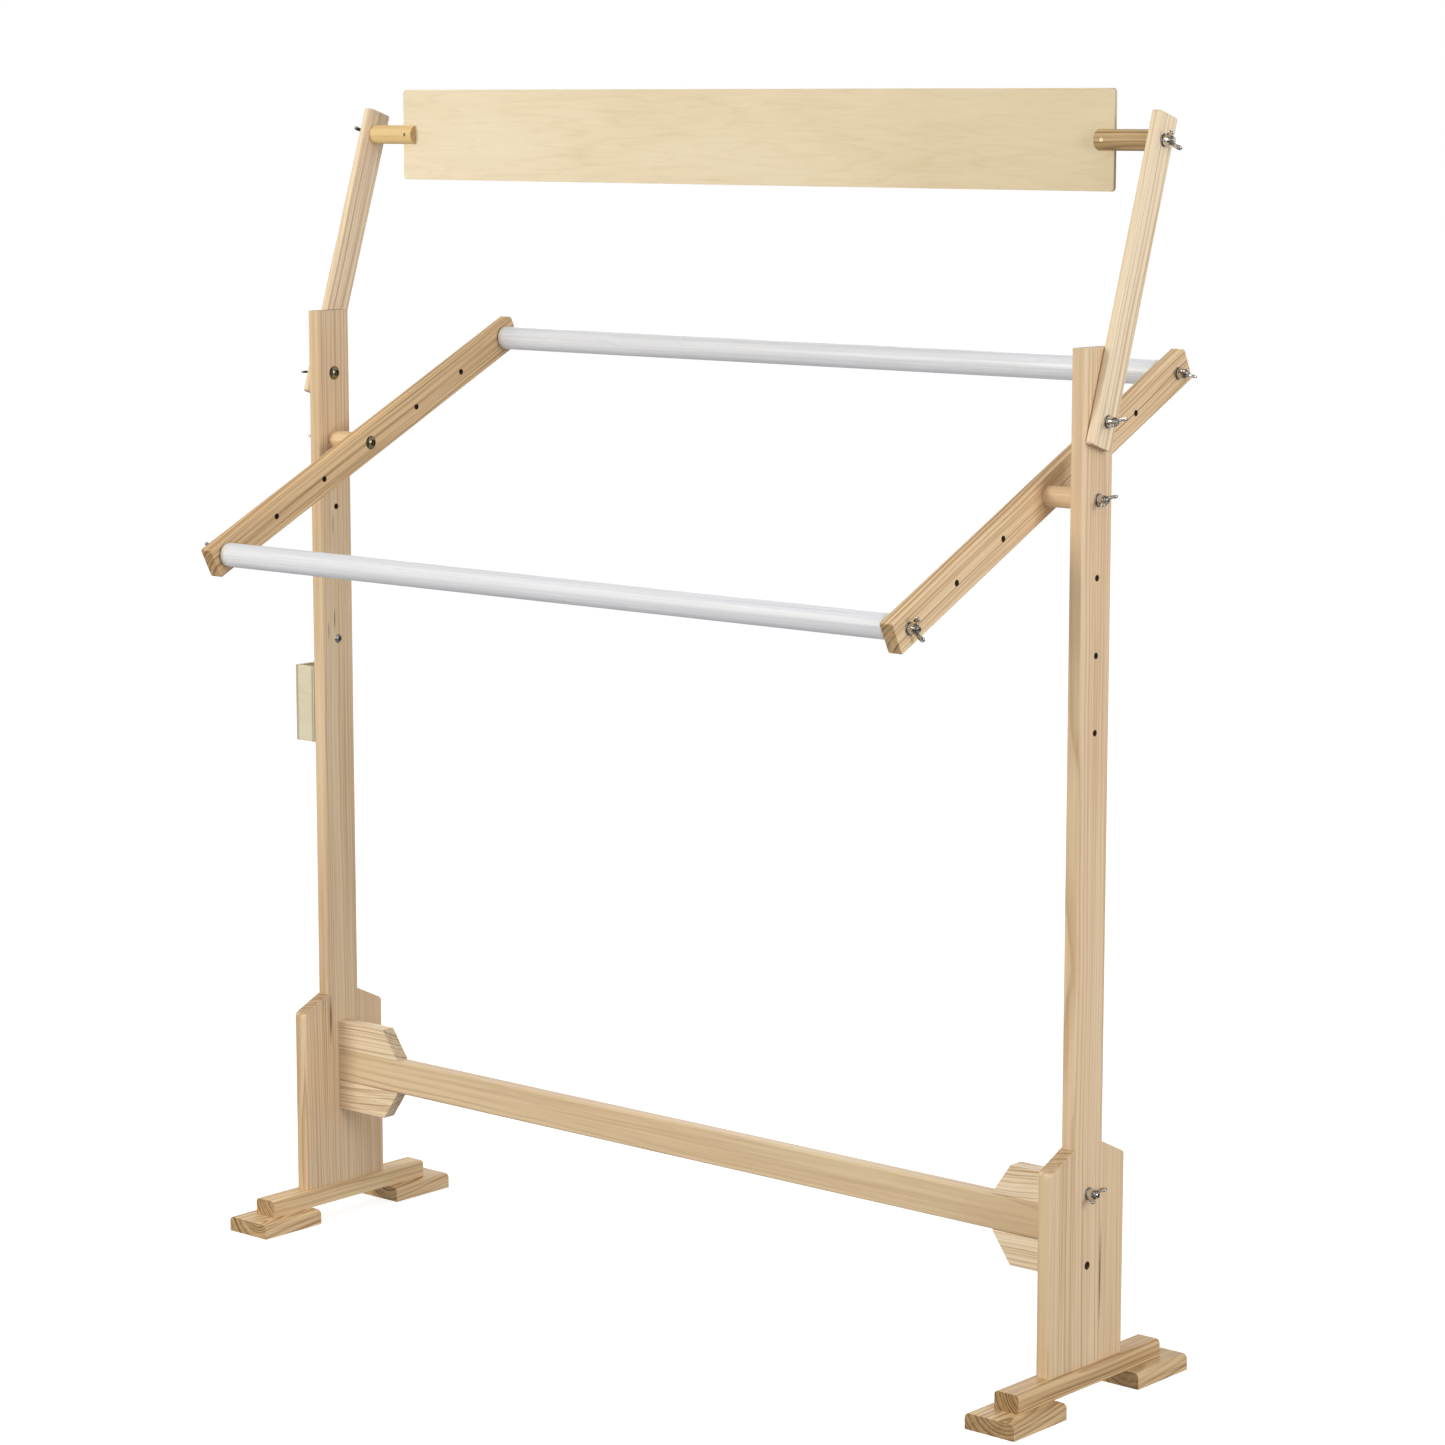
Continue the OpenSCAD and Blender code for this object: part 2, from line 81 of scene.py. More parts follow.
def solids(node):
    """The boxes (low, high) of a node's separate solids, in order of X, then Y, then Z."""
    bm = merged(node)
    boxes, seen = [], set()
    for start in bm.verts:
        if start in seen:
            continue
        seen.add(start)
        group, todo = [], [start]
        while todo:
            v = todo.pop()
            group.append(v.co)
            for e in v.link_edges:
                w = e.other_vert(v)
                if w not in seen:
                    seen.add(w)
                    todo.append(w)
        boxes.append((Vector(map(min, *group)), Vector(map(max, *group))))
    bm.free()
    return sorted(boxes, key=lambda b: tuple(round(v, 4) for v in b[0]))


# ---- node trees ----

class Tree:
    """Adds shader nodes to a node tree. A value is a plain number or colour, or another node's output."""

    def __init__(self, tree):
        self.tree = tree

    def node(self, kind, inputs=(), **settings):
        n = self.tree.nodes.new(kind)
        for k, v in settings.items():
            setattr(n, k, v)
        for k, v in dict(inputs).items():
            self.put(n.inputs[k], v)
        return n

    def put(self, socket, value):
        if isinstance(value, bpy.types.NodeSocket):
            self.tree.links.new(value, socket)
        else:
            socket.default_value = value

    def math(self, op, a, b=0.0, c=0.0, clamp=False):
        n = self.node("ShaderNodeMath", {0: a, 1: b, 2: c}, operation=op, use_clamp=clamp)
        return n.outputs[0]

    def vmath(self, op, a, b=(0, 0, 0), out=0):
        return self.node("ShaderNodeVectorMath", {0: a, 1: b}, operation=op).outputs[out]

    def noise(self, vector, scale=1.0, detail=2.0, roughness=0.5, out=0):
        n = self.node("ShaderNodeTexNoise", {"Vector": vector, "Scale": scale, "Detail": detail,
                                             "Roughness": roughness})
        return n.outputs[out]

    def noise1(self, w, scale, detail=0.0):
        """Noise along a line."""
        n = self.node("ShaderNodeTexNoise", noise_dimensions="1D")
        self.put(n.inputs["W"], w)
        self.put(n.inputs["Scale"], scale)
        self.put(n.inputs["Detail"], detail)
        return n.outputs[0]

    def ramp(self, factor, stops, interpolation="EASE"):
        """A grey ramp through (position, value) stops."""
        n = self.node("ShaderNodeValToRGB", {0: factor})
        n.color_ramp.interpolation = interpolation
        while len(n.color_ramp.elements) < len(stops):
            n.color_ramp.elements.new(0.5)
        for e, (at, value) in zip(n.color_ramp.elements, stops):
            e.position = at
            e.color = (value, value, value, 1)
        return n.outputs[0]

    def mix(self, factor, a, b, mode="MIX"):
        n = self.node("ShaderNodeMix", data_type="RGBA", blend_type=mode, clamp_factor=True)
        for i, v in ((0, factor), (6, a), (7, b)):
            self.put(n.inputs[i], v)
        return n.outputs[2]

    def range(self, value, a, b, low=0.0, high=1.0):
        """Low where the value is a, high where it is b, and clamped beyond them."""
        n = self.node("ShaderNodeMapRange", {0: value, 1: a, 2: b, 3: low, 4: high}, clamp=True)
        return n.outputs[0]

    def xyz(self, vector):
        return self.node("ShaderNodeSeparateXYZ", {0: vector}).outputs

    def join(self, x, y):
        return self.node("ShaderNodeCombineXYZ", {0: x, 1: y}).outputs[0]

    def tinted(self, colour, tint):
        """A colour multiplied by a tint."""
        return self.mix(1.0, colour, tint, "MULTIPLY")

    def attribute(self, name):
        """A number stored on the mesh's vertices."""
        return self.node("ShaderNodeAttribute", attribute_name=name).outputs["Fac"]

    def stretched(self, vector, fineness, shift, detail, roughness):
        """Noise with its own fineness along each axis, such as long thin fibres."""
        place = self.vmath("ADD", self.vmath("MULTIPLY", vector, fineness), shift)
        return self.noise(place, 1, detail, roughness)

    def facing(self, direction):
        """How squarely the surface faces along a direction, either way, from 0 to 1."""
        normal = self.node("ShaderNodeTexCoord").outputs["Normal"]
        return self.math("ABSOLUTE", self.vmath("DOT_PRODUCT", normal, tuple(direction), out=1))

    def board_space(self, axes, centre):
        """Places measured from a board's centre along its own axes, the grain last."""
        coord = self.node("ShaderNodeTexCoord")
        mapping = self.node("ShaderNodeMapping", {"Vector": coord.outputs["Object"]})
        mapping.inputs["Rotation"].default_value = axes.to_euler("XYZ")
        mapping.inputs["Location"].default_value = -(axes @ centre)
        return mapping.outputs[0]


class Net(Tree):
    """A new material with a principled shader."""

    def __init__(self, name):
        self.material = bpy.data.materials.new(name)
        self.material.use_nodes = True
        super().__init__(self.material.node_tree)
        self.tree.nodes.clear()
        surface = self.tree.nodes.new("ShaderNodeOutputMaterial")
        self.shader = self.tree.nodes.new("ShaderNodeBsdfPrincipled")
        self.tree.links.new(self.shader.outputs[0], surface.inputs[0])

    def bump(self, height, distance, strength):
        n = self.node("ShaderNodeBump", {"Height": height, "Distance": distance, "Strength": strength})
        self.tree.links.new(n.outputs[0], self.shader.inputs["Normal"])

    def set(self, **values):
        """Sets the shader's inputs, under short names."""
        names = {"colour": "Base Color", "roughness": "Roughness", "metallic": "Metallic",
                 "specular": "Specular IOR Level"}
        for k, v in values.items():
            self.put(self.shader.inputs[names[k]], v)


def srgb(r, g, b):
    """A colour given in 0-255 screen values, as the linear colour that a shader takes."""
    def channel(v):
        v /= 255
        return v / 12.92 if v <= 0.04045 else ((v + 0.055) / 1.055) ** 2.4
    return (channel(r), channel(g), channel(b), 1)


def scaled(colour, k, tint=(1, 1, 1)):
    """A linear colour made k times as bright, and tinted."""
    return tuple(min(1.0, c * k * t) for c, t in zip(colour[:3], tint)) + (1,)


def random_shift(seed):
    """A random place in the noise, so that no two pieces share a pattern."""
    rng = random.Random(seed)
    return Vector((rng.uniform(2, 90), rng.uniform(2, 90), rng.uniform(2, 90)))


# ---- wood ----

# The pale earlywood and the dark latewood of each kind of board, in screen values.
PINE = ((229, 204, 170), (182, 148, 108))
PINE_WARM = ((224, 197, 154), (168, 128, 84))
PINE_PALE = ((240, 220, 190), (182, 148, 108))
PINE_BROWN = ((231, 200, 154), (152, 116, 76))
PINE_FOOT = {"left": ((233, 205, 161), (176, 135, 90)), "right": ((216, 187, 143), (154, 116, 75))}
PINE_GUSSET = ((225, 199, 162), (178, 144, 103))
PINE_ROSY = ((227, 204, 169), (173, 137, 98))
# a lighter copy of the pale pine, painted brighter to make up for the shade on the right braces
PINE_PAINTED_LIGHTER = ((251, 232, 205), (196, 163, 123))
PINE_HONEY = ((232, 205, 165), (172, 134, 92))
ROD_YELLOW = ((236, 206, 150), (200, 160, 104))
ROD_BROWN = ((206, 176, 132), (142, 112, 74))
ROD_PALE = ((236, 208, 170), (196, 160, 118))
PLY = ((240, 225, 201), (221, 198, 162))
PLY_GREYER = ((226, 218, 196), (208, 194, 162))
END_TINT = (1.0, 0.91, 0.81)        # cut ends are a warmer brown, and the tint also paints in the warm bounce light that ends in shade get
PINK_TINT = (1.0, 0.925, 0.90, 1)
AGED_TINT = (0.86, 0.83, 0.74, 1)


def board_axes(grain, side):
    """Rotation into a board's own coordinates: its grain runs along the last one."""
    w = grain.normalized()
    u = (side - w * side.dot(w)).normalized()
    v = w.cross(u)
    return Matrix((u, v, w))


def growth_rings(net, board, shift, pith, spacing, tilt, waviness):
    """Latewood, from 0 to 1, in uneven rings about a pith line that wanders slowly along the board."""
    u, v, w = net.xyz(board)
    slow = net.vmath("ADD", net.vmath("MULTIPLY", board, (9, 9, 5.5)), shift)
    bend = net.vmath("SUBTRACT", net.noise(slow, 1, 1.5, out=1), (0.5, 0.5, 0.5))
    bend_u, bend_v, _ = net.xyz(bend)
    du = net.math("MULTIPLY_ADD", w, tilt[0], net.math("MULTIPLY_ADD", bend_u, waviness * 2, u))
    dv = net.math("MULTIPLY_ADD", w, tilt[1], net.math("MULTIPLY_ADD", bend_v, waviness * 2, v))
    du = net.math("SUBTRACT", du, pith[0])
    dv = net.math("SUBTRACT", dv, pith[1])
    radius = net.vmath("LENGTH", net.join(du, dv), out=1)
    turns = net.math("DIVIDE", radius, spacing)
    uneven = net.noise1(net.math("ADD", turns, shift.x), 0.37, 1)
    turns = net.math("MULTIPLY_ADD", uneven, 2.4, turns)
    ring = net.math("FRACT", turns)
    late = net.ramp(ring, ((0.0, 0.12), (0.30, 0.10), (0.74, 0.62), (0.90, 1.0), (0.97, 0.55), (1.0, 0.12)))
    each = net.noise1(net.math("MULTIPLY_ADD", net.math("FLOOR", turns), 0.731, shift.y), 3.1)
    return net.math("MULTIPLY", late, net.range(each, 0.3, 0.7, 0.45, 1.15))


def resin(net, colour, deep, board, coarse, flecks):
    """Dark ragged streaks of resin, which run right through the board."""
    for v, w, wide, long, strength in flecks:
        away = net.vmath("MULTIPLY", net.vmath("SUBTRACT", board, (0, v, w)), (0, 1 / wide, 1 / long))
        ragged = net.math("MULTIPLY_ADD", coarse, 1.3, net.vmath("LENGTH", away, out=1))
        colour = net.mix(net.range(ragged, 1.75, 0.9, 0.0, strength), colour, scaled(deep, 0.30))
    return colour


def end_grain(net, pale, deep, late, coarse, pores, shade):
    """The ends of the fibres: porous, with the rings as strong stripes."""
    light = scaled(pale, shade, END_TINT)
    dark = scaled(deep, 0.60 * shade, END_TINT)
    pore = scaled(deep, 0.62 * shade, END_TINT)
    stripes = net.math("ADD", net.math("MULTIPLY", late, 1.1), net.range(coarse, 0.35, 0.7, -0.1, 0.20),
                       clamp=True)
    return net.mix(net.range(pores, 0.35, 0.8, 0.0, 0.30), net.mix(stripes, light, dark), pore)


def wood(name, centre, grain, side, seed, tones, pith=(0.03, 0.02), spacing=0.004, tilt=(0.006, 0.004),
         waviness=0.004, contrast=1.0, streaks=1.0, flecks=(), end_shade=0.8):
    """Planed softwood cut from a log: growth rings about a pith line, fibres along the grain, darker ends.

    centre, grain and side place the board; pith is where the heart of the log lies in the board's own
    cross-section; flecks are dark resin streaks (v, w, width, length, strength) in board coordinates.
    """
    net = Net(name)
    shift = random_shift(seed)
    board = net.board_space(board_axes(grain, side), centre)
    late = growth_rings(net, board, shift, pith, spacing, tilt, waviness)
    pale, deep = (srgb(*t) for t in tones)

    # fibres: long thin streaks, fine, coarse and broad
    fine = net.stretched(board, (1500, 1500, 26), shift, 2, 0.6)
    coarse = net.stretched(board, (230, 230, 3.2), shift, 2.5, 0.55)
    broad = net.stretched(board, (34, 34, 2.2), shift, 2, 0.5)
    dark = net.math("MULTIPLY", late, 0.72 * contrast)
    dark = net.math("ADD", dark, net.range(coarse, 0.30, 0.72, -0.20 * streaks, 0.30 * streaks))
    dark = net.math("ADD", dark, net.range(fine, 0.25, 0.75, -0.10, 0.10))
    dark = net.math("ADD", dark, net.range(broad, 0.25, 0.75, -0.16, 0.16), clamp=True)
    colour = net.mix(dark, pale, deep)

    # slow drift between a pinker and a yellower tone
    drift = net.stretched(board, (16, 16, 3.4), shift, 1, 0.5)
    colour = net.mix(net.range(drift, 0.35, 0.68, 0.0, 0.55), colour, net.tinted(colour, PINK_TINT))
    colour = resin(net, colour, deep, board, coarse, flecks)

    end = net.range(net.facing(grain.normalized()), 0.60, 0.98)
    pores = net.noise(net.vmath("MULTIPLY", board, (1400, 1400, 300)), 1, 2, 0.6)
    colour = net.mix(end, colour, end_grain(net, pale, deep, late, coarse, pores, end_shade))

    # handled edges are paler, and the walls of drilled holes are painted near black as shade
    worn = net.math("MULTIPLY", net.attribute("worn"), net.range(coarse, 0.3, 0.6, 0.25, 0.8))
    colour = net.mix(worn, colour, scaled(pale, 1.08))
    painted_shade = net.math("MULTIPLY", net.attribute("painted_shade"), 0.92)
    colour = net.mix(painted_shade, colour, scaled(deep, 0.14, END_TINT))

    height = net.math("MULTIPLY_ADD", late, 0.55, net.math("MULTIPLY", fine, 0.7))
    height = net.math("MULTIPLY_ADD", pores, net.math("MULTIPLY", end, 0.9), height)
    dull = net.range(net.math("MULTIPLY_ADD", late, 0.35, fine), 0.3, 1.1, 0.56, 0.40)
    net.set(colour=colour, roughness=dull, specular=0.35)
    net.bump(height, 0.00022, 0.6)
    return net.material


PLIES = 3
PLY_THICKNESS = 0.004


def ply_edge(net, pale, deep, u, fleck):
    """Edge of the plywood: three layers, the middle one in end grain. Returns the colour and the glue."""
    layers = net.math("MULTIPLY_ADD", u, PLIES / PLY_THICKNESS, PLIES / 2)
    glue = net.ramp(net.math("FRACT", layers), ((0.0, 1.0), (0.09, 0.0), (0.91, 0.0), (1.0, 1.0)))
    middle_ply = net.math("FLOORED_MODULO", net.math("FLOOR", layers), 2)
    colour = net.mix(middle_ply, scaled(pale, 0.86), scaled(deep, 0.72))
    colour = net.mix(net.math("MULTIPLY", glue, 0.75), colour, scaled(deep, 0.34))
    return net.mix(net.range(fleck, 0.3, 0.7, 0.0, 0.3), colour, scaled(deep, 0.6)), glue


def plywood(name, centre, thin, seed, tones=PLY, drift=0.0):
    """Thin birch plywood: a pale rotary-cut face, and glued layers showing on the edges.

    drift is how much the face yellows and darkens per metre along its grain.
    """
    net = Net(name)
    shift = random_shift(seed)
    long = X if abs(thin.x) < 0.5 else Z
    board = net.board_space(board_axes(long, thin), centre)
    u, _, w = net.xyz(board)

    # a rotary-cut face crosses the rings so flatly that they show as wide soft flames
    slow = net.stretched(board, (20, 26, 3.0), shift, 2, 0.5)
    flame = net.math("FRACT", net.math("MULTIPLY", slow, 9))
    flame = net.ramp(flame, ((0.0, 0.2), (0.55, 0.3), (0.88, 1.0), (1.0, 0.2)))
    fibre = net.stretched(board, (900, 900, 22), shift, 2, 0.6)
    fleck = net.stretched(board, (260, 260, 30), shift, 2, 0.6)
    cloud = net.stretched(board, (12, 12, 4), shift, 3, 0.6)
    dark = net.math("ADD", net.math("MULTIPLY", flame, 0.20), net.range(fibre, 0.25, 0.75, -0.12, 0.16))
    dark = net.math("ADD", dark, net.range(fleck, 0.55, 0.8, 0.0, 0.28))
    dark = net.math("ADD", dark, net.range(cloud, 0.3, 0.7, -0.12, 0.30), clamp=True)
    pale, deep = (srgb(*t) for t in tones)
    colour = net.mix(dark, pale, deep)
    if drift:
        along = net.math("MULTIPLY_ADD", w, drift, 0.5, clamp=True)
        colour = net.mix(along, colour, net.tinted(colour, AGED_TINT))

    edge_colour, glue = ply_edge(net, pale, deep, u, fleck)
    edge = net.range(net.facing(thin), 0.75, 0.45)
    colour = net.mix(edge, colour, edge_colour)

    height = net.math("ADD", fibre, net.math("MULTIPLY", fleck, 0.5))
    height = net.math("MULTIPLY_ADD", glue, net.math("MULTIPLY", edge, -1.5), height)
    dull = net.range(net.math("ADD", fibre, fleck), 0.6, 1.4, 0.42, 0.60)
    net.set(colour=colour, roughness=dull, specular=0.3)
    net.bump(height, 0.00012, 0.5)
    return net.material


# ---- plastic and metal ----

PIPE_WHITE = (231, 233, 243)
PLUG_WHITE = (232, 231, 228)
GREY_STEP = 26                      # how much darker the lines on the pipe are, in screen values


def white_pipe(name, centre, seed, tone=PIPE_WHITE):
    """Extruded white plastic pipe: faint lines along it, small scuffs, a soft gloss."""
    net = Net(name)
    coord = net.node("ShaderNodeTexCoord")
    local = net.vmath("SUBTRACT", coord.outputs["Object"], tuple(centre))
    shift = random_shift(seed)
    lines = net.stretched(local, (4, 420, 420), shift, 3, 0.65)
    cloud = net.stretched(local, (9, 60, 60), shift, 3, 0.55)
    scuff = net.stretched(local, (70, 900, 900), shift, 3, 0.7)
    marks = net.range(scuff, 0.66, 0.78)
    white, grey = srgb(*tone), srgb(*(t - GREY_STEP for t in tone))
    colour = net.mix(net.range(lines, 0.38, 0.66, 0.0, 0.55), white, grey)
    colour = net.mix(net.range(cloud, 0.4, 0.75, 0.0, 0.25), colour, srgb(214, 214, 212))
    colour = net.mix(net.math("MULTIPLY", marks, 0.35), colour, srgb(168, 166, 162))
    # painted shadow: the plug's outer rim, in the gap against the arm, is darkened to brown-grey
    colour = net.mix(net.attribute("painted_shade"), colour, srgb(78, 66, 58))
    rough = net.math("ADD", net.range(cloud, 0.3, 0.7, 0.26, 0.40), net.math("MULTIPLY", marks, 0.2))
    net.set(colour=colour, roughness=rough, specular=0.5)
    net.bump(net.math("ADD", lines, net.math("MULTIPLY", marks, -0.6)), 0.00008, 0.6)
    return net.material


def metal(name, tone, dark, roughness, seed):
    """Plated or blackened steel: cloudy plating, fine scratches, and painted shade in the hollows."""
    net = Net(name)
    coord = net.node("ShaderNodeTexCoord")
    local = net.vmath("ADD", coord.outputs["Object"], random_shift(seed))
    cloud = net.noise(local, 260, 3, 0.6)
    scratch = net.noise(net.vmath("MULTIPLY", local, (2600, 420, 900)), 1, 3, 0.65)
    pits = net.noise(local, 1700, 2, 0.6)
    colour = net.mix(net.range(cloud, 0.35, 0.7), srgb(*tone), scaled(srgb(*tone), 0.68))
    colour = net.mix(net.range(pits, 0.60, 0.78, 0.0, 0.6), colour, srgb(*dark))
    # painted shade: the recesses are darkened to near black
    colour = net.mix(net.range(net.attribute("painted_shade"), 0.15, 0.85), colour, srgb(*dark))
    rough = net.math("ADD", net.range(scratch, 0.3, 0.75, roughness - 0.08, roughness + 0.16),
                     net.range(pits, 0.6, 0.8, 0.0, 0.12))
    net.set(colour=colour, roughness=rough, metallic=1.0)
    net.bump(net.math("ADD", scratch, net.math("MULTIPLY", pits, 0.8)), 0.00006, 0.7)
    return net.material


def zinc():
    """Bright zinc, on the nuts and threads."""
    return metal("zinc", (232, 228, 220), (8, 7, 6), 0.13, 111)


def dark_steel():
    """Bronzed steel, on the bolt heads and small screws."""
    return metal("dark_steel", (178, 165, 136), (10, 8, 6), 0.20, 112)


def plated_washer():
    """Duller plating, on the washers and the post's screw."""
    return metal("plated_washer", (186, 186, 184), (60, 58, 54), 0.34, 113)


# ---- finished pieces ----

SMOOTHEST_CREASE = math.radians(0.6)    # flatter than this, and two faces are one
EASED_CREASE = math.radians(50)         # sharper than this, and an edge is eased
HOLE_REACH = 6.5 * MM                   # how far a drilled hole reaches from its board's middle line
END_MARGIN = 9 * MM                     # no hole is nearer than this to the end of its board


def to_mesh(bm, name):
    mesh = bpy.data.meshes.new(name)
    bm.to_mesh(mesh)
    bm.free()
    return mesh


def new_object(name, mesh):
    thing = bpy.data.objects.new(name, mesh)
    bpy.context.scene.collection.objects.link(thing)
    return thing


def finish(bm, node, kind, materials, sharp_angle=40):
    """Makes the object for a finished mesh, smooth but for its creases, in place of its CAD node."""
    bmesh.ops.recalc_face_normals(bm, faces=bm.faces)
    name = f"{node}_{kind}"
    mesh = to_mesh(bm, name)
    mesh.shade_smooth()
    mesh.set_sharp_from_angle(angle=math.radians(sharp_angle))
    for material in materials:
        mesh.materials.append(material)
    piece = new_object(name, mesh)
    even = piece.modifiers.new("flat faces stay flat", "WEIGHTED_NORMAL")
    even.keep_sharp = True
    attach(piece, BODY_OF[node])
    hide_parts(node)
    return piece


def softened(node, edge):
    """A node's mesh with its flat faces joined up and its sharp corners and hole rims eased."""
    bm = merged(node)
    bmesh.ops.dissolve_limit(bm, angle_limit=SMOOTHEST_CREASE, verts=bm.verts, edges=bm.edges)
    sharp = [e for e in bm.edges if e.is_manifold and e.calc_face_angle(0) > EASED_CREASE]
    eased = set(bmesh.ops.bevel(bm, geom=sharp, offset=edge, offset_type="OFFSET", segments=2, profile=0.5,
                                affect="EDGES", clamp_overlap=True)["faces"])
    worn = bm.verts.layers.float.new("worn")
    for v in bm.verts:
        v[worn] = 1.0 if all(f in eased for f in v.link_faces) else 0.0
    bmesh.ops.remove_doubles(bm, verts=bm.verts, dist=2e-7)
    return bm


def mark_holes(bm, centre, grain):
    """Marks the walls and rims of the holes drilled through a board along X, on the board's middle line, for
    painted shade.
    """
    across = grain.cross(X)
    painted_shade = bm.verts.layers.float.new("painted_shade")
    half = max((v.co - centre).dot(grain) for v in bm.verts)
    for f in bm.faces:
        d = f.calc_center_median() - centre
        near_line = abs(d.dot(across)) < HOLE_REACH and abs(d.dot(grain)) < half - END_MARGIN
        if abs(f.normal.x) < 0.9 and near_line:
            for v in f.verts:
                v[painted_shade] = 1.0


def board(node, material, slot, edge=0.8 * MM, bored=None):
    """A wooden or plywood piece with eased ends and hole rims; bored is the grain of a board with holes."""
    bm = softened(node, edge)
    if bored:
        mark_holes(bm, middle(node), bored)
    finish(bm, node, "board", [material], sharp_angle=60)


def spokes(axis, steps):
    """Unit vectors square to the axis, evenly spread round it."""
    side = axis.orthogonal().normalized()
    return [Matrix.Rotation(2 * math.pi * k / steps, 3, axis) @ side for k in range(steps)]


def bridge(bm, rings, material_index=0):
    """Joins each ring of vertices to the next with a band of faces."""
    for a, b in zip(rings, rings[1:]):
        for k in range(len(a)):
            j = (k + 1) % len(a)
            bm.faces.new([a[k], a[j], b[j], b[k]]).material_index = material_index


def lathe(bm, profile, start, axis, steps=ROUND_STEPS, closed=False):
    """Turns a profile of (distance along the axis, radius) points about the axis."""
    turn = spokes(axis, steps)
    rings = []
    for along, radius in profile:
        centre = start + axis * along
        if radius < 1e-7:
            rings.append([bm.verts.new(centre)])
        else:
            rings.append([bm.verts.new(centre + d * radius) for d in turn])
    pairs = list(zip(rings, rings[1:])) + ([(rings[-1], rings[0])] if closed else [])
    for a, b in pairs:
        for k in range(steps):
            j = (k + 1) % steps
            quad = [a[k % len(a)], a[j % len(a)], b[j % len(b)], b[k % len(b)]]
            bm.faces.new(list(dict.fromkeys(quad)))


def arc(centre_along, centre_radius, r, start, end):
    """Points of a rounded corner in a lathe profile, from one angle to the other in degrees."""
    angles = [math.radians(start + (end - start) * k / ARC_STEPS) for k in range(ARC_STEPS + 1)]
    return [(centre_along + r * math.cos(a), centre_radius + r * math.sin(a)) for a in angles]


def rounded_ring(length, outer, inner, r):
    """Closed profile of a tube or washer with rounded rims."""
    return (arc(r, outer - r, r, 180, 90) + arc(length - r, outer - r, r, 90, 0)
            + arc(length - r, inner + r, r, 0, -90) + arc(r, inner + r, r, -90, -180))


def unit(value):
    """The value, kept between 0 and 1."""
    return max(0.0, min(1.0, value))


def mark_painted_shade(piece, where):
    """Stores how hidden each vertex is, from 0 to 1, for the painted shade in the recesses of the metal and
    plastic.
    """
    attribute = piece.data.attributes.new("painted_shade", "FLOAT", "POINT")
    attribute.data.foreach_set("value", [where(v.co) for v in piece.data.vertices])


# ---- wing nuts ----

NUT_LENGTH = 13.5 * MM
NUT_HUB = 5.2 * MM              # radius at the foot
NUT_HUB_LENGTH = 8.0 * MM
NUT_REACH = 12.75 * MM          # from the axis to the end of a wing
WING_TIP = 2.8 * MM
WING_HEART = (7.2 * MM, 7.4 * MM)
BORE = 3.1 * MM                 # of nuts, washers and spacers
TIP_STEPS = 10
# Slices through a wing: millimetres from its middle plane, and how far the outline has grown there.
WING_SLICES = ((-1.2, 0.86), (-0.9, 0.97), (-0.5, 1.0), (0.5, 1.0), (0.9, 0.97), (1.2, 0.86))
CAST_GRAIN = 0.28 * MM
CAST_KEEP = 0.28                # the share of the cast's faces that is kept


def wing_outline():
    """Outline of one wing in its own plane, (along the bolt, away from it), as a rounded ear."""
    tip = [(NUT_LENGTH - WING_TIP + 0.97 * WING_TIP * math.cos(a),
            NUT_REACH - WING_TIP + 0.97 * WING_TIP * math.sin(a))
           for a in (math.radians(115 - 190 * k / TIP_STEPS) for k in range(TIP_STEPS + 1))]
    outer = [(0.8 * MM, 3.2 * MM), (0.8 * MM, 4.7 * MM), (3.2 * MM, 6.4 * MM), (6.4 * MM, 9.2 * MM)]
    inner = [(9.4 * MM, 6.6 * MM), (8.0 * MM, 4.7 * MM), (7.2 * MM, 3.2 * MM)]
    return outer + tip + inner


def add_hub(bm):
    top = NUT_HUB_LENGTH - 0.05 * MM
    hub = [(0.25 * MM, NUT_HUB), (1.5 * MM, NUT_HUB - 0.05 * MM), (2.0 * MM, NUT_HUB - 0.35 * MM),
           (7.3 * MM, 4.3 * MM), (top, 3.9 * MM), (top, 3.5 * MM), (7.5 * MM, BORE),
           (0.6 * MM, BORE), (0.05 * MM, BORE + 0.5 * MM), (0.05 * MM, NUT_HUB - 0.25 * MM)]
    lathe(bm, hub, Vector(), X, 48, closed=True)


def add_wing(bm, flip):
    heart = Vector(WING_HEART)
    rings = []
    for z, grow in WING_SLICES:
        ring = []
        for x, y in wing_outline():
            p = heart + (Vector((x, y)) - heart) * grow if y > 3.5 * MM else Vector((x, y))
            ring.append(bm.verts.new((p.x, flip * p.y, flip * z * MM)))
        rings.append(ring)
    bridge(bm, rings)
    bm.faces.new(rings[0][::-1])
    bm.faces.new(rings[-1])


def nut_template():
    """One cast wing nut along +X with its wings along +-Y: hub, two ears with thick rims, and its bore."""
    bm = bmesh.new()
    add_hub(bm)
    for flip in (1, -1):
        add_wing(bm, flip)
    bmesh.ops.recalc_face_normals(bm, faces=bm.faces)
    shell = new_object("nut_parts", to_mesh(bm, "nut_parts"))
    cast = shell.modifiers.new("cast", "REMESH")
    cast.mode, cast.voxel_size = "VOXEL", CAST_GRAIN
    worn = shell.modifiers.new("worn", "SMOOTH")
    worn.iterations, worn.factor = 3, 0.6
    fewer = shell.modifiers.new("fewer", "DECIMATE")
    fewer.ratio = CAST_KEEP
    bpy.context.view_layer.update()
    deps = bpy.context.evaluated_depsgraph_get()
    made = bpy.data.meshes.new_from_object(shell.evaluated_get(deps))
    bpy.data.objects.remove(shell)
    return made


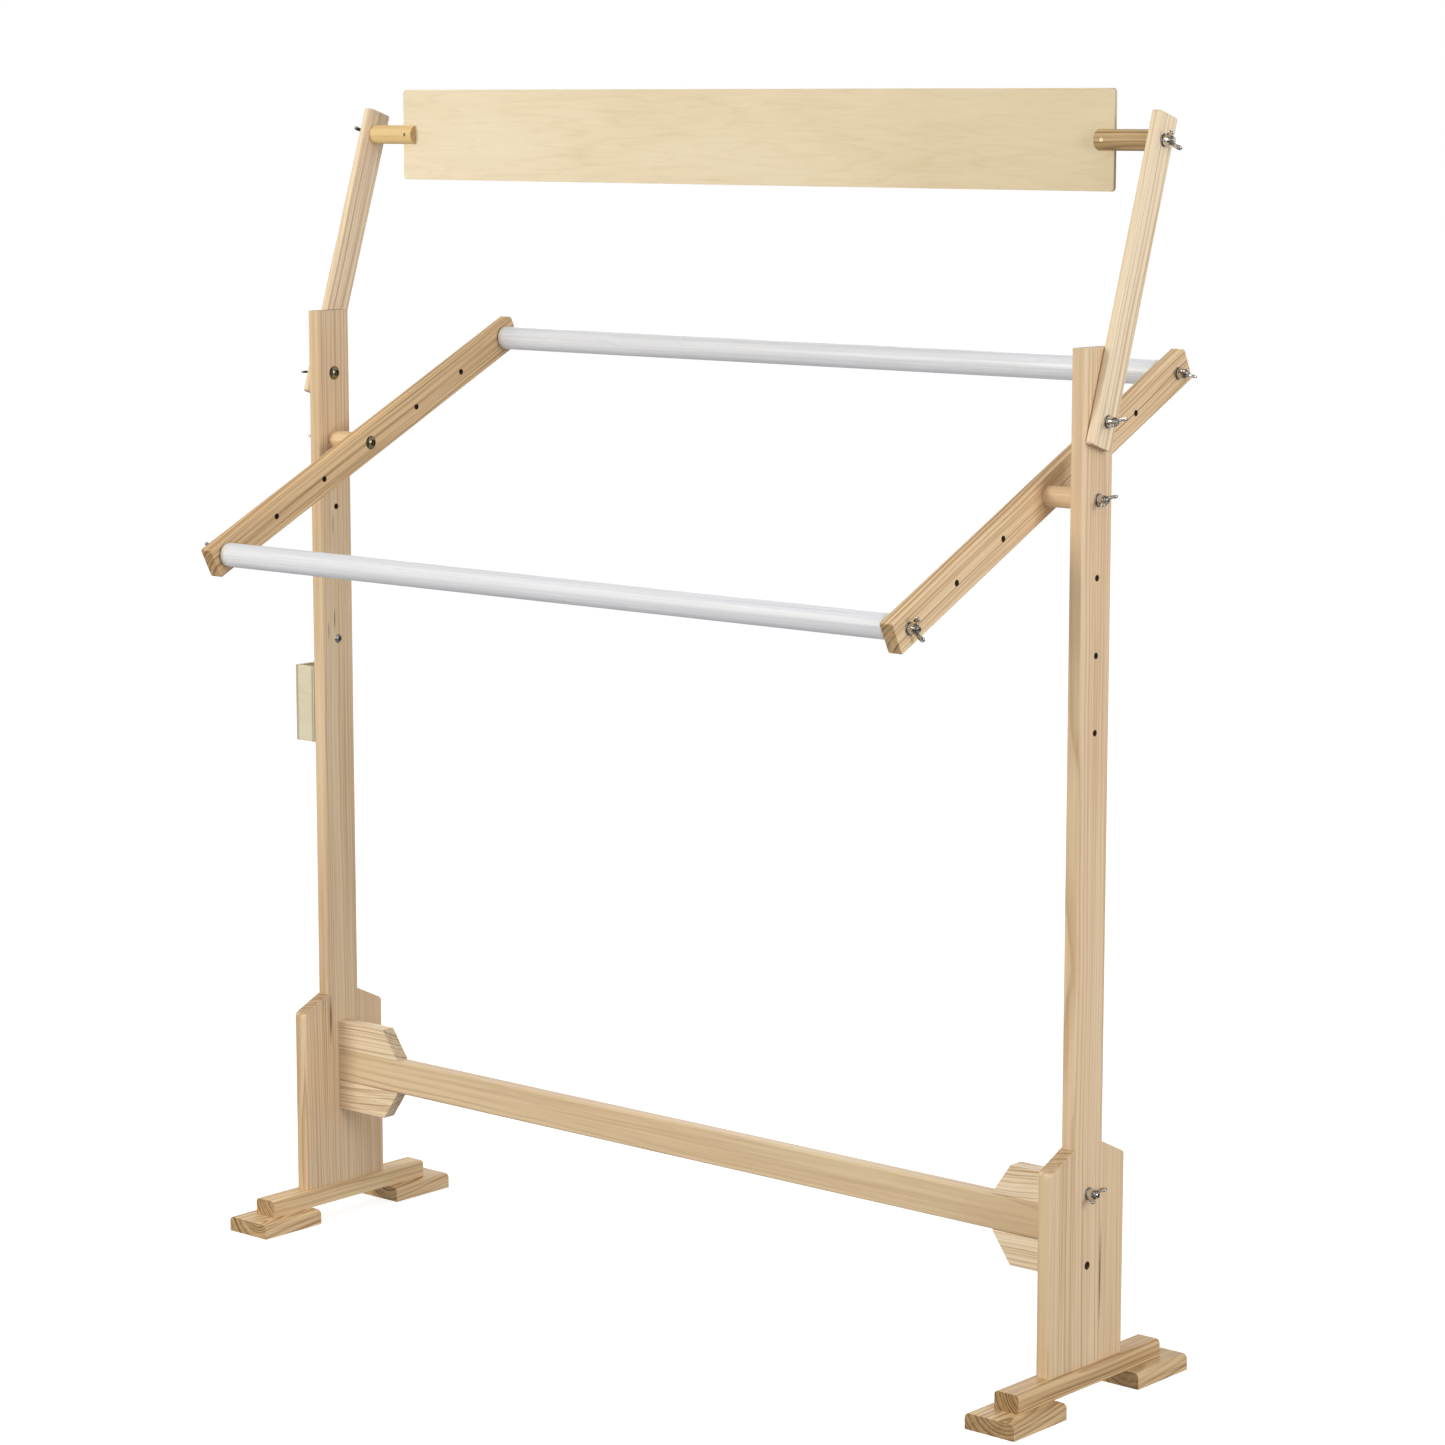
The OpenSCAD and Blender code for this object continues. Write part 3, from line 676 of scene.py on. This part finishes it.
def wing_direction(node, axis, centre):
    """Unit vector from a wing nut's axis towards one of its wings, read from the CAD mesh."""
    away = [v.co - centre for v in NODES[node].data.vertices]
    away = [d - axis * d.dot(axis) for d in away]
    far = max(away, key=lambda d: d.length)
    tip = [d for d in away if d.length > far.length * 0.93 and d.dot(far) > 0]
    return sum(tip, Vector()).normalized()


def nut_painted_shade(p):
    """Painted shade where the wings leave the hub, on their flat webs and inside the bore."""
    out = math.hypot(p.y, p.z)
    bore = max(0.0, 1 - (out - 3.0 * MM) / (0.9 * MM))
    root = max(0.0, 1 - abs(p.x - 7.0 * MM) / (3.4 * MM)) * max(0.0, 1 - abs(out - 5.0 * MM) / (2.4 * MM))
    foot_face = max(0.0, 1 - p.x / (1.1 * MM))
    web = max(0.0, 1 - math.hypot((p.x - 9.0 * MM) / (4.0 * MM), (out - 9.4 * MM) / (2.7 * MM)))
    return min(1.0, max(bore, root * 0.95, foot_face * 0.8, web * 1.3))


def wing_nut(node, template, material):
    """A cast wing nut in place of its CAD solid, at the same place and turn."""
    low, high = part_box(node)
    outward = 1 if low.x > 0 else -1
    axis = X * outward
    centre = middle(node)
    base = Vector((low.x if outward > 0 else high.x, centre.y, centre.z))
    wing = wing_direction(node, axis, base)
    place = Matrix((axis, wing, axis.cross(wing))).transposed().to_4x4()
    place.translation = base
    mesh = template.copy()
    piece = new_object(node + "_cast", mesh)
    mark_painted_shade(piece, nut_painted_shade)
    mesh.transform(place)
    mesh.shade_smooth()
    mesh.materials.clear()
    mesh.materials.append(material)
    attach(piece, BODY_OF[node])
    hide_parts(node)


# ---- bolts, studs, washers, screws ----

STUD_RADIUS = 3.0 * MM
HEAD_HEIGHT = 4.4 * MM
HEAD_SIDES = 48
HEAD_RIM = 0.35 * MM
THREADED = 20 * MM              # length of the thread on a bolt or stud
PITCH = 1.0 * MM
THREAD_DEPTH = 0.42 * MM
THREAD_SIDES = 24               # round the stud
THREAD_SLICES = 7               # along each turn of the thread
TIP_CHAMFER = 0.9 * MM


def threads(bm, start, axis, plain, threaded, material_index=0):
    """A stud: a plain shank, then a helical thread as wide at its crest, and a chamfered tip."""
    turn = spokes(axis, THREAD_SIDES)
    slices = int(threaded / PITCH * THREAD_SLICES)
    end = plain + threaded
    rings = []
    for along in [0.0, plain] + [plain + (k + 1) * PITCH / THREAD_SLICES for k in range(slices)]:
        ring = []
        for k in range(THREAD_SIDES):
            r = STUD_RADIUS
            if along > plain:
                phase = ((along - plain) / PITCH - k / THREAD_SIDES) % 1
                r -= THREAD_DEPTH * (1 - abs(2 * phase - 1)) ** 0.8
            r = min(r, STUD_RADIUS - TIP_CHAMFER + max(0.0, end - along))
            ring.append(bm.verts.new(start + axis * along + turn[k] * r))
        rings.append(ring)
    bridge(bm, rings, material_index)
    bm.faces.new(rings[0][::-1]).material_index = material_index
    bm.faces.new(rings[-1]).material_index = material_index


def domed_head(bm, underside, axis, radius, height, socket=2.3 * MM, depth=2.4 * MM):
    """A domed head with a hexagon socket; the axis points out of the head."""
    dome = (radius * radius + height * height) / (2 * height)
    profile = [(0.0, STUD_RADIUS), (0.0, radius - 0.3 * MM), (HEAD_RIM, radius)]
    profile += [(a, math.sqrt(max(0.0, dome * dome - (a + dome - height) ** 2)))
                for a in (HEAD_RIM + (height - HEAD_RIM) * k / 9 for k in range(1, 9))]
    profile = [(a, min(r, radius)) for a, r in profile if r > socket + 0.6 * MM]
    turn = spokes(axis, HEAD_SIDES)
    rings = [[bm.verts.new(underside + axis * a + d * r) for d in turn] for a, r in profile]
    sixth = math.pi / 3
    hexagon = [socket / math.cos((2 * math.pi * k / HEAD_SIDES + sixth / 2) % sixth - sixth / 2)
               for k in range(HEAD_SIDES)]
    top = height - 0.12 * MM
    for along, grow in ((top, 0.25 * MM), (top - 0.25 * MM, 0.0), (height - depth, 0.0)):
        rings.append([bm.verts.new(underside + axis * along + d * (h + grow)) for d, h in zip(turn, hexagon)])
    bridge(bm, rings)
    floor = bm.verts.new(underside + axis * (height - depth - 0.5 * MM))
    for k in range(HEAD_SIDES):
        bm.faces.new([rings[-1][k], rings[-1][(k + 1) % HEAD_SIDES], floor])
    bm.faces.new(rings[0][::-1])


def bolts(node, head_material, thread_material, headed):
    """All the bolts or studs of a node, with true threads on their outer ends."""
    bm = bmesh.new()
    heads = []
    for low, high in solids(node):
        outward = 1 if low.x + high.x > 0 else -1
        axis = X * outward
        centre = (low + high) / 2
        inner, outer = (low.x, high.x) if outward > 0 else (high.x, low.x)
        start = Vector((inner, centre.y, centre.z))
        length = abs(outer - inner)
        overlap = 0.0
        if headed:
            start += axis * HEAD_HEIGHT
            length -= HEAD_HEIGHT
            overlap = 0.3 * MM
            domed_head(bm, start, -axis, (high.y - low.y) / 2, HEAD_HEIGHT)
            heads.append(start - axis * HEAD_HEIGHT)
        threads(bm, start - axis * overlap, axis, length - THREADED, THREADED, material_index=1)
    piece = finish(bm, node, "steel", [head_material, thread_material], sharp_angle=38)

    # painted shade in each head's socket and in a ring round its rim
    def painted_shade(p):
        near = min(((p - h).length for h in heads), default=1.0)
        socket = 1.7 - near / (2.6 * MM)
        rim = 1 - abs(near - 8.2 * MM) / (1.1 * MM)
        return unit(max(socket, rim))
    mark_painted_shade(piece, painted_shade)


def post_screw(node, material):
    """A pan-head screw through the left post, its head towards the middle of the stand."""
    low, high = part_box(node)
    post_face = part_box("left_post")[1].x
    centre = middle(node)
    seat = Vector((post_face, centre.y, centre.z))
    head = seat + X * (high.x - post_face)
    bm = bmesh.new()
    domed_head(bm, seat, X, (high.y - low.y) / 2, high.x - post_face, socket=1.5 * MM, depth=1.5 * MM)
    plain, overlap = 2.0 * MM, 0.1 * MM
    threads(bm, seat - X * overlap, -X, plain, post_face - low.x - overlap - plain)
    piece = finish(bm, node, "driven", [material], sharp_angle=38)
    # painted shade in the head's socket
    mark_painted_shade(piece, lambda p: unit(1.5 - (p - head).length / (2.5 * MM)))


def washers(node, material):
    """Stamped washers with rolled edges."""
    bm = bmesh.new()
    for low, high in solids(node):
        centre = (low + high) / 2
        radius = (high.y - low.y) / 2
        lathe(bm, rounded_ring(high.x - low.x, radius, BORE, 0.35 * MM),
              Vector((low.x, centre.y, centre.z)), X, 56, closed=True)
    piece = finish(bm, node, "stamped", [material])
    mark_painted_shade(piece, lambda p: 0.0)


def cross_outline(axis, arm, half):
    """The twelve corners of a cross recess, about the axis."""
    first = axis.orthogonal().normalized()
    second = axis.cross(first)
    corners = []
    for k in range(4):
        a = first if k % 2 == 0 else second
        b = second if k % 2 == 0 else -first
        sign = 1 if k < 2 else -1
        corners += [sign * (a * arm - b * half), sign * (a * arm + b * half), sign * (a * half + b * half)]
    return corners


def small_screws(node, material, axis, shank, head_height):
    """Screws with a cross recess in a flat countersunk head; the axis points out of the head."""
    bm = bmesh.new()
    for low, high in solids(node):
        size = high - low
        length = abs(size.dot(axis))
        head = min(d for d in size if d > 0) / 2
        top = (low + high) / 2 + axis * (length / 2 - 0.02 * MM)
        profile = [(0.0, head * 0.97), (-0.25 * MM, head), (-head_height, shank * 1.1),
                   (-head_height - 0.3 * MM, shank), (-length + 1.5 * MM, shank * 0.9),
                   (-length + 0.1 * MM, 0.0)]
        before = set(bm.edges)
        lathe(bm, profile, top, axis, 32)
        rim = [e for e in set(bm.edges) - before if e.is_boundary]
        corners = [bm.verts.new(top + c) for c in cross_outline(axis, head * 0.62, head * 0.15)]
        edge = [bm.edges.new((a, b)) for a, b in zip(corners, corners[1:] + corners[:1])]
        bmesh.ops.triangle_fill(bm, use_beauty=True, edges=rim + edge)
        deep = [bm.verts.new(top + c - axis * head_height * 0.55)
                for c in cross_outline(axis, head * 0.45, head * 0.12)]
        bridge(bm, (corners, deep))
        bm.faces.new(deep)
    piece = finish(bm, node, "driven", [material])
    mark_painted_shade(piece, lambda p: 0.0)


# ---- round wood and plastic ----

TUBE_BORE = 10.2 * MM           # the tubes' inner radius
PLUG_BORE = 3.05 * MM           # round the studs


def turned(node, kind, material, bore, rim):
    """Round pieces along X, one per solid of the node; bore is the inner radius, or None when solid."""
    bm = bmesh.new()
    for low, high in solids(node):
        centre = (low + high) / 2
        radius = (high.y - low.y) / 2
        length = high.x - low.x
        start = Vector((low.x, centre.y, centre.z))
        if bore is None:
            profile = ([(0.0, 0.0)] + arc(rim, radius - rim, rim, 180, 90)
                       + arc(length - rim, radius - rim, rim, 90, 0) + [(length, 0.0)])
            lathe(bm, profile, start, X)
        else:
            lathe(bm, rounded_ring(length, radius, bore, rim), start, X, closed=True)
    finish(bm, node, kind, [material])


def plug_profile(spigot, rim, radius):
    """Half section of a plug: the spigot inside the tube, a rounded rim, and a shallow recessed face."""
    spigot_radius = radius - 2.3 * MM
    profile = [(-spigot, PLUG_BORE), (-spigot, spigot_radius - 0.8 * MM), (-spigot + 0.8 * MM, spigot_radius),
               (0.02 * MM, spigot_radius), (0.02 * MM, radius - 0.5 * MM)]
    profile += arc(0.5 * MM, radius - 0.5 * MM, 0.48 * MM, 170, 90)
    profile += arc(rim - 1.2 * MM, radius - 1.2 * MM, 1.2 * MM, 90, 0)
    face = rim - 0.8 * MM
    return profile + [(rim, radius - 2.4 * MM), (face, radius - 3.0 * MM), (face, 5.2 * MM), (rim, 4.8 * MM),
                      (rim, PLUG_BORE)]


def tube_plugs(node, tube, material):
    """The plastic plugs in a tube's two ends."""
    bm = bmesh.new()
    tube_low, tube_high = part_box(tube)
    for low, high in solids(node):
        outward = 1 if low.x + high.x > 0 else -1
        centre = (low + high) / 2
        inner, rim_from, outer = ((low.x, tube_high.x, high.x) if outward > 0 else
                                  (high.x, tube_low.x, low.x))
        profile = plug_profile(abs(rim_from - inner), abs(outer - rim_from), (high.y - low.y) / 2)
        lathe(bm, profile, Vector((rim_from, centre.y, centre.z)), X * outward, closed=True)
    piece = finish(bm, node, "moulded", [material])
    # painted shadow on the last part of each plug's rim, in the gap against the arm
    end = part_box(node)[1].x
    mark_painted_shade(piece, lambda p: unit((abs(p.x) - end + 1.3 * MM) / (0.5 * MM)))


# ---- the materials and pieces, part by part ----

# Resin streaks in each post: across it, height above the floor, half width, half length, and strength.
POST_STREAKS = {
    "left": ((-0.0055, 0.765, 0.0008, 0.014, 0.75), (-0.0050, 0.662, 0.0010, 0.012, 0.75),
             (-0.0140, 0.650, 0.0014, 0.010, 0.45), (-0.0195, 0.222, 0.0024, 0.028, 0.85)),
    "right": ((0.0205, 0.118, 0.0019, 0.056, 0.95),)}


def tilted(node):
    """The direction that a tilted arm runs in, read from its mesh."""
    bm = merged(node)
    co = np.array([v.co for v in bm.verts])
    bm.free()
    _, _, axes = np.linalg.svd(co - co.mean(0), full_matrices=False)
    along = Vector(axes[0])
    return along if along.z > 0 else -along


def leg(side):
    """A post and the two boards glued to its foot."""
    post = f"{side}_post"
    right = side == "right"
    centre = middle(post)
    flecks = [(v, z - centre.z, wide, long, strength) for v, z, wide, long, strength in POST_STREAKS[side]]
    material = wood(post, centre, Z, X, 11 if right else 12, PINE, pith=(0.010 if right else -0.010, 0.062),
                    spacing=0.0044, contrast=0.85, flecks=flecks, end_shade=0.84)
    board(post, material, "pine", bored=Z)
    for k, (end, pith, contrast) in enumerate((("front", (0.016, -0.05), 1.25), ("rear", (-0.02, 0.045), 0.6))):
        node = f"{side}_{end}_gusset"
        material = wood(node, middle(node), Z, X, 21 + k + 4 * right, PINE_GUSSET if right else PINE, pith=pith,
                        spacing=0.0044, contrast=contrast)
        board(node, material, "pine", edge=0.5 * MM)


def foot(side):
    """The rail under a leg, and its two pads."""
    right = side == "right"
    rail = f"{side}_foot_rail"
    material = wood(rail, middle(rail), Y, X, 31 + right, PINE_FOOT[side], pith=(0.022, -0.017), spacing=0.0036,
                    contrast=1.35 if right else 0.95, streaks=1.2, tilt=(0.03, 0.02))
    board(rail, material, "pine_warm", edge=1.0 * MM)
    for k, end in enumerate(("front", "rear")):
        node = f"{side}_{end}_pad"
        material = wood(node, middle(node), Y, X, 41 + k + 2 * right, PINE_FOOT[side], pith=(0.012, -0.030),
                        spacing=0.0048, contrast=1.5, streaks=1.2, tilt=(0.05, 0.10), waviness=0.007)
        board(node, material, "pine", edge=1.2 * MM)


def stretcher():
    """The bar between the legs, and the braces above and below its ends."""
    node = "stretcher_bar"
    material = wood(node, middle(node), X, Y, 51, PINE_ROSY, pith=(0.05, 0.02), spacing=0.0042, contrast=0.55)
    board(node, material, "pine_warm", edge=0.4 * MM)
    seed = 61
    # the right braces take a lighter copy of the pine, painted brighter against their shade
    for side, tones in (("left", PINE_PALE), ("right", PINE_PAINTED_LIGHTER)):
        for height, pith in (("upper", 0.055), ("lower", -0.055)):
            node = f"{side}_{height}_brace"
            material = wood(node, middle(node), X, Y, seed, tones, pith=(0.018, pith), spacing=0.0034,
                            contrast=1.15, tilt=(0.02, -0.05), waviness=0.009)
            board(node, material, "pine_pale", edge=0.9 * MM)
            seed += 1


def scroll_frame():
    """The two tilted arms, and the spacers between them and the posts."""
    for k, (side, tones, contrast) in enumerate((("left", PINE_BROWN, 0.95), ("right", PINE_HONEY, 1.25))):
        arm = f"{side}_frame_arm"
        material = wood(arm, middle(arm), tilted(arm), X, 71 + k, tones, pith=(0.040, 0.040), spacing=0.0042,
                        contrast=contrast, streaks=1.4, tilt=(0.004, 0.012))
        board(arm, material, "pine_pale", edge=1.0 * MM, bored=tilted(arm))
        spacer = f"{side}_spacer"
        material = wood(spacer, middle(spacer), X, Y, 75 + k, ROD_PALE, pith=(0.012, 0.01), spacing=0.003,
                        contrast=0.6)
        turned(spacer, "turned", material, BORE, 0.5 * MM)


def rollers():
    """The two white tubes and their end plugs."""
    for k, tube in enumerate(("front_tube", "rear_tube")):
        material = white_pipe(tube, middle(tube), 81 + k)
        turned(tube, "pipe", material, TUBE_BORE, 0.4 * MM)
        plugs = tube + "_plugs"
        tube_plugs(plugs, tube, white_pipe(plugs, middle(tube), 85 + k, PLUG_WHITE))


def chart_holder():
    """The upper arms, the long plywood panel, and the slotted rods that hold it."""
    for k, (side, tones, contrast, shade) in enumerate((("left", ROD_YELLOW, 0.5, 0.72),
                                                        ("right", ROD_BROWN, 1.3, 0.5))):
        arm = f"{side}_chart_arm"
        material = wood(arm, middle(arm), tilted(arm), X, 91 + k, PINE_PALE, pith=(0.03, 0.04), spacing=0.0034,
                        contrast=0.9, streaks=1.3)
        board(arm, material, "pine_pale", edge=0.9 * MM, bored=tilted(arm))
        rod = f"{side}_panel_rod"
        material = wood(rod, middle(rod), X, Y, 95 + k, tones, pith=(0.015, 0.02), spacing=0.003,
                        contrast=contrast, end_shade=shade)
        board(rod, material, "pine_warm", edge=0.4 * MM)
    panel = "chart_panel"
    board(panel, plywood(panel, middle(panel), Y, 97, drift=1.0), "plywood", edge=0.35 * MM)


def pocket():
    """The small plywood pocket on the left post."""
    for k, (node, thin) in enumerate((("pocket_back", X), ("pocket_outer_wall", X), ("pocket_floor", Z))):
        board(node, plywood(node, middle(node), thin, 101 + k, PLY_GREYER), "plywood", edge=0.3 * MM)
    node = "pocket_end_walls"
    low, high = solids(node)[0]
    board(node, plywood(node, (low + high) / 2, Y, 105, PLY_GREYER), "plywood", edge=0.3 * MM)


def hardware():
    """The wing nuts, bolts, studs, washers, screws and dowels."""
    bright, dark, plated = zinc(), dark_steel(), plated_washer()
    template = nut_template()
    for node in sorted(n for n in NODES if n.endswith("_wing_nut")):
        wing_nut(node, template, bright)
    for node in ("frame_pivot_bolts", "chart_arm_bolts"):
        bolts(node, dark, bright, headed=True)
    for node in ("leg_studs", "front_tube_studs", "rear_tube_studs", "panel_studs"):
        bolts(node, dark, bright, headed=False)
    for node in ("stand_washers", "frame_washers", "chart_arm_washers"):
        washers(node, plated)
    post_screw("left_post_screw", plated)
    small_screws("panel_screws", dark, -Y, 1.2 * MM, 1.6 * MM)
    small_screws("foot_screws", dark, -Z, 2.0 * MM, 3.0 * MM)
    dowel = wood("dowel", middle("stretcher_bar"), X, Y, 115, ROD_BROWN, spacing=0.003, end_shade=0.35)
    turned("leg_locating_dowels", "turned", dowel, None, 0.8 * MM)


# ---- room, lights and camera ----

FLOOR_SIZE = 60                 # metres from the middle to each edge
FLOOR_GLOW = 0.77

# Brightness of the studio's walls by height, from -1 straight down to 1 straight up. Its two dark bands give
# bright metal its black lines.
SKY = ((-1.0, 0.58), (-0.42, 0.50), (-0.34, 0.06), (-0.08, 0.06), (-0.02, 1.0), (0.22, 1.0), (0.27, 0.12),
       (0.42, 0.12), (0.48, 0.80), (1.0, 0.46))
FLAGS = 5                       # how many upright black flags stand round the room
FLAG_TURN = math.radians(30)    # the direction of the first
FLAG_EDGE = 0.1                 # the cosine at which each flag ends
FLAG_DEPTH = 0.92               # how much light a flag takes away

LIT_POINT = Vector((0, 0, 0.6))

PICTURE_WIDTH = 1445            # pixels
FOCAL_PIXELS = 3981.8
SENSOR_WIDTH = 36               # mm
EYE = (2.6250, -2.9698, 1.2149)
EYE_DIRECTION = Vector((-0.64633, 0.74739, -0.15380))


def room():
    """A plain pale floor, lit so brightly that only faint shadows show on it."""
    net = Net("studio_floor")
    coord = net.node("ShaderNodeTexCoord")
    cloud = net.noise(coord.outputs["Object"], 1.5, 2, 0.5)
    net.set(colour=net.mix(net.range(cloud, 0.3, 0.7), (0.42, 0.42, 0.42, 1), (0.44, 0.44, 0.44, 1)),
            roughness=0.9, specular=0.0)
    net.shader.inputs["Emission Color"].default_value = (1, 1, 1, 1)
    net.shader.inputs["Emission Strength"].default_value = FLOOR_GLOW
    bm = bmesh.new()
    bmesh.ops.create_grid(bm, x_segments=4, y_segments=4, size=FLOOR_SIZE)
    floor = new_object("studio_floor", to_mesh(bm, "studio_floor"))
    floor.data.materials.append(net.material)
    floor.visible_diffuse = False
    floor.visible_glossy = False


def studio_light():
    """The walls of the studio: white round the horizon, softer overhead, dim below."""
    world = bpy.data.worlds.new("studio")
    bpy.context.scene.world = world
    world.use_nodes = True
    net = Tree(world.node_tree)
    x, y, z = net.xyz(net.node("ShaderNodeTexCoord").outputs["Generated"])
    height = net.math("MULTIPLY_ADD", z, 0.5, 0.5)
    walls = net.ramp(height, [((h + 1) / 2, value) for h, value in SKY], "LINEAR")

    # only polished surfaces see the flags
    azimuth = net.math("ARCTAN2", y, x)
    wave = net.math("COSINE", net.math("MULTIPLY", net.math("SUBTRACT", azimuth, FLAG_TURN), FLAGS))
    flag = net.math("GREATER_THAN", wave, FLAG_EDGE)
    seen = net.math("MULTIPLY", flag, net.node("ShaderNodeLightPath").outputs["Is Glossy Ray"])
    shade = net.math("SUBTRACT", 1.0, net.math("MULTIPLY", seen, FLAG_DEPTH))
    background = world.node_tree.nodes["Background"]
    net.put(background.inputs["Color"], walls)
    net.put(background.inputs["Strength"], shade)


def stand_at(thing, place, direction):
    """Puts a lamp or a camera somewhere, looking in a direction."""
    thing.location = place
    thing.rotation_euler = direction.to_track_quat("-Z", "Y").to_euler()


def softbox(name, place, size, power, colour=(1, 1, 1)):
    """A soft area light that points at the middle of the stand."""
    data = bpy.data.lights.new(name, "AREA")
    data.shape, data.size, data.size_y, data.energy = "RECTANGLE", size[0], size[1], power
    data.color = colour
    stand_at(new_object(name, data), place, LIT_POINT - Vector(place))


def lights():
    """A warm key from the front left, a cool fill from the right, and a weaker light from behind."""
    softbox("key", (-1.6, -3.2, 2.0), (1.6, 2.2), 75, (1, 0.955, 0.79))
    softbox("fill", (3.6, -0.6, 1.6), (1.4, 2.0), 58, (0.97, 0.985, 1))
    softbox("back", (-2.4, 3.0, 2.0), (1.6, 2.0), 24)


def camera():
    """The view: from the front right, a little above the middle."""
    data = bpy.data.cameras.new("camera")
    data.sensor_width = SENSOR_WIDTH
    data.lens = SENSOR_WIDTH * FOCAL_PIXELS / PICTURE_WIDTH
    eye = new_object("camera", data)
    stand_at(eye, EYE, EYE_DIRECTION)
    bpy.context.scene.camera = eye


bpy.context.scene.view_settings.view_transform = "Standard"
camera()
room()
studio_light()
lights()
for which in ("left", "right"):
    leg(which)
    foot(which)
stretcher()
scroll_frame()
rollers()
chart_holder()
pocket()
hardware()
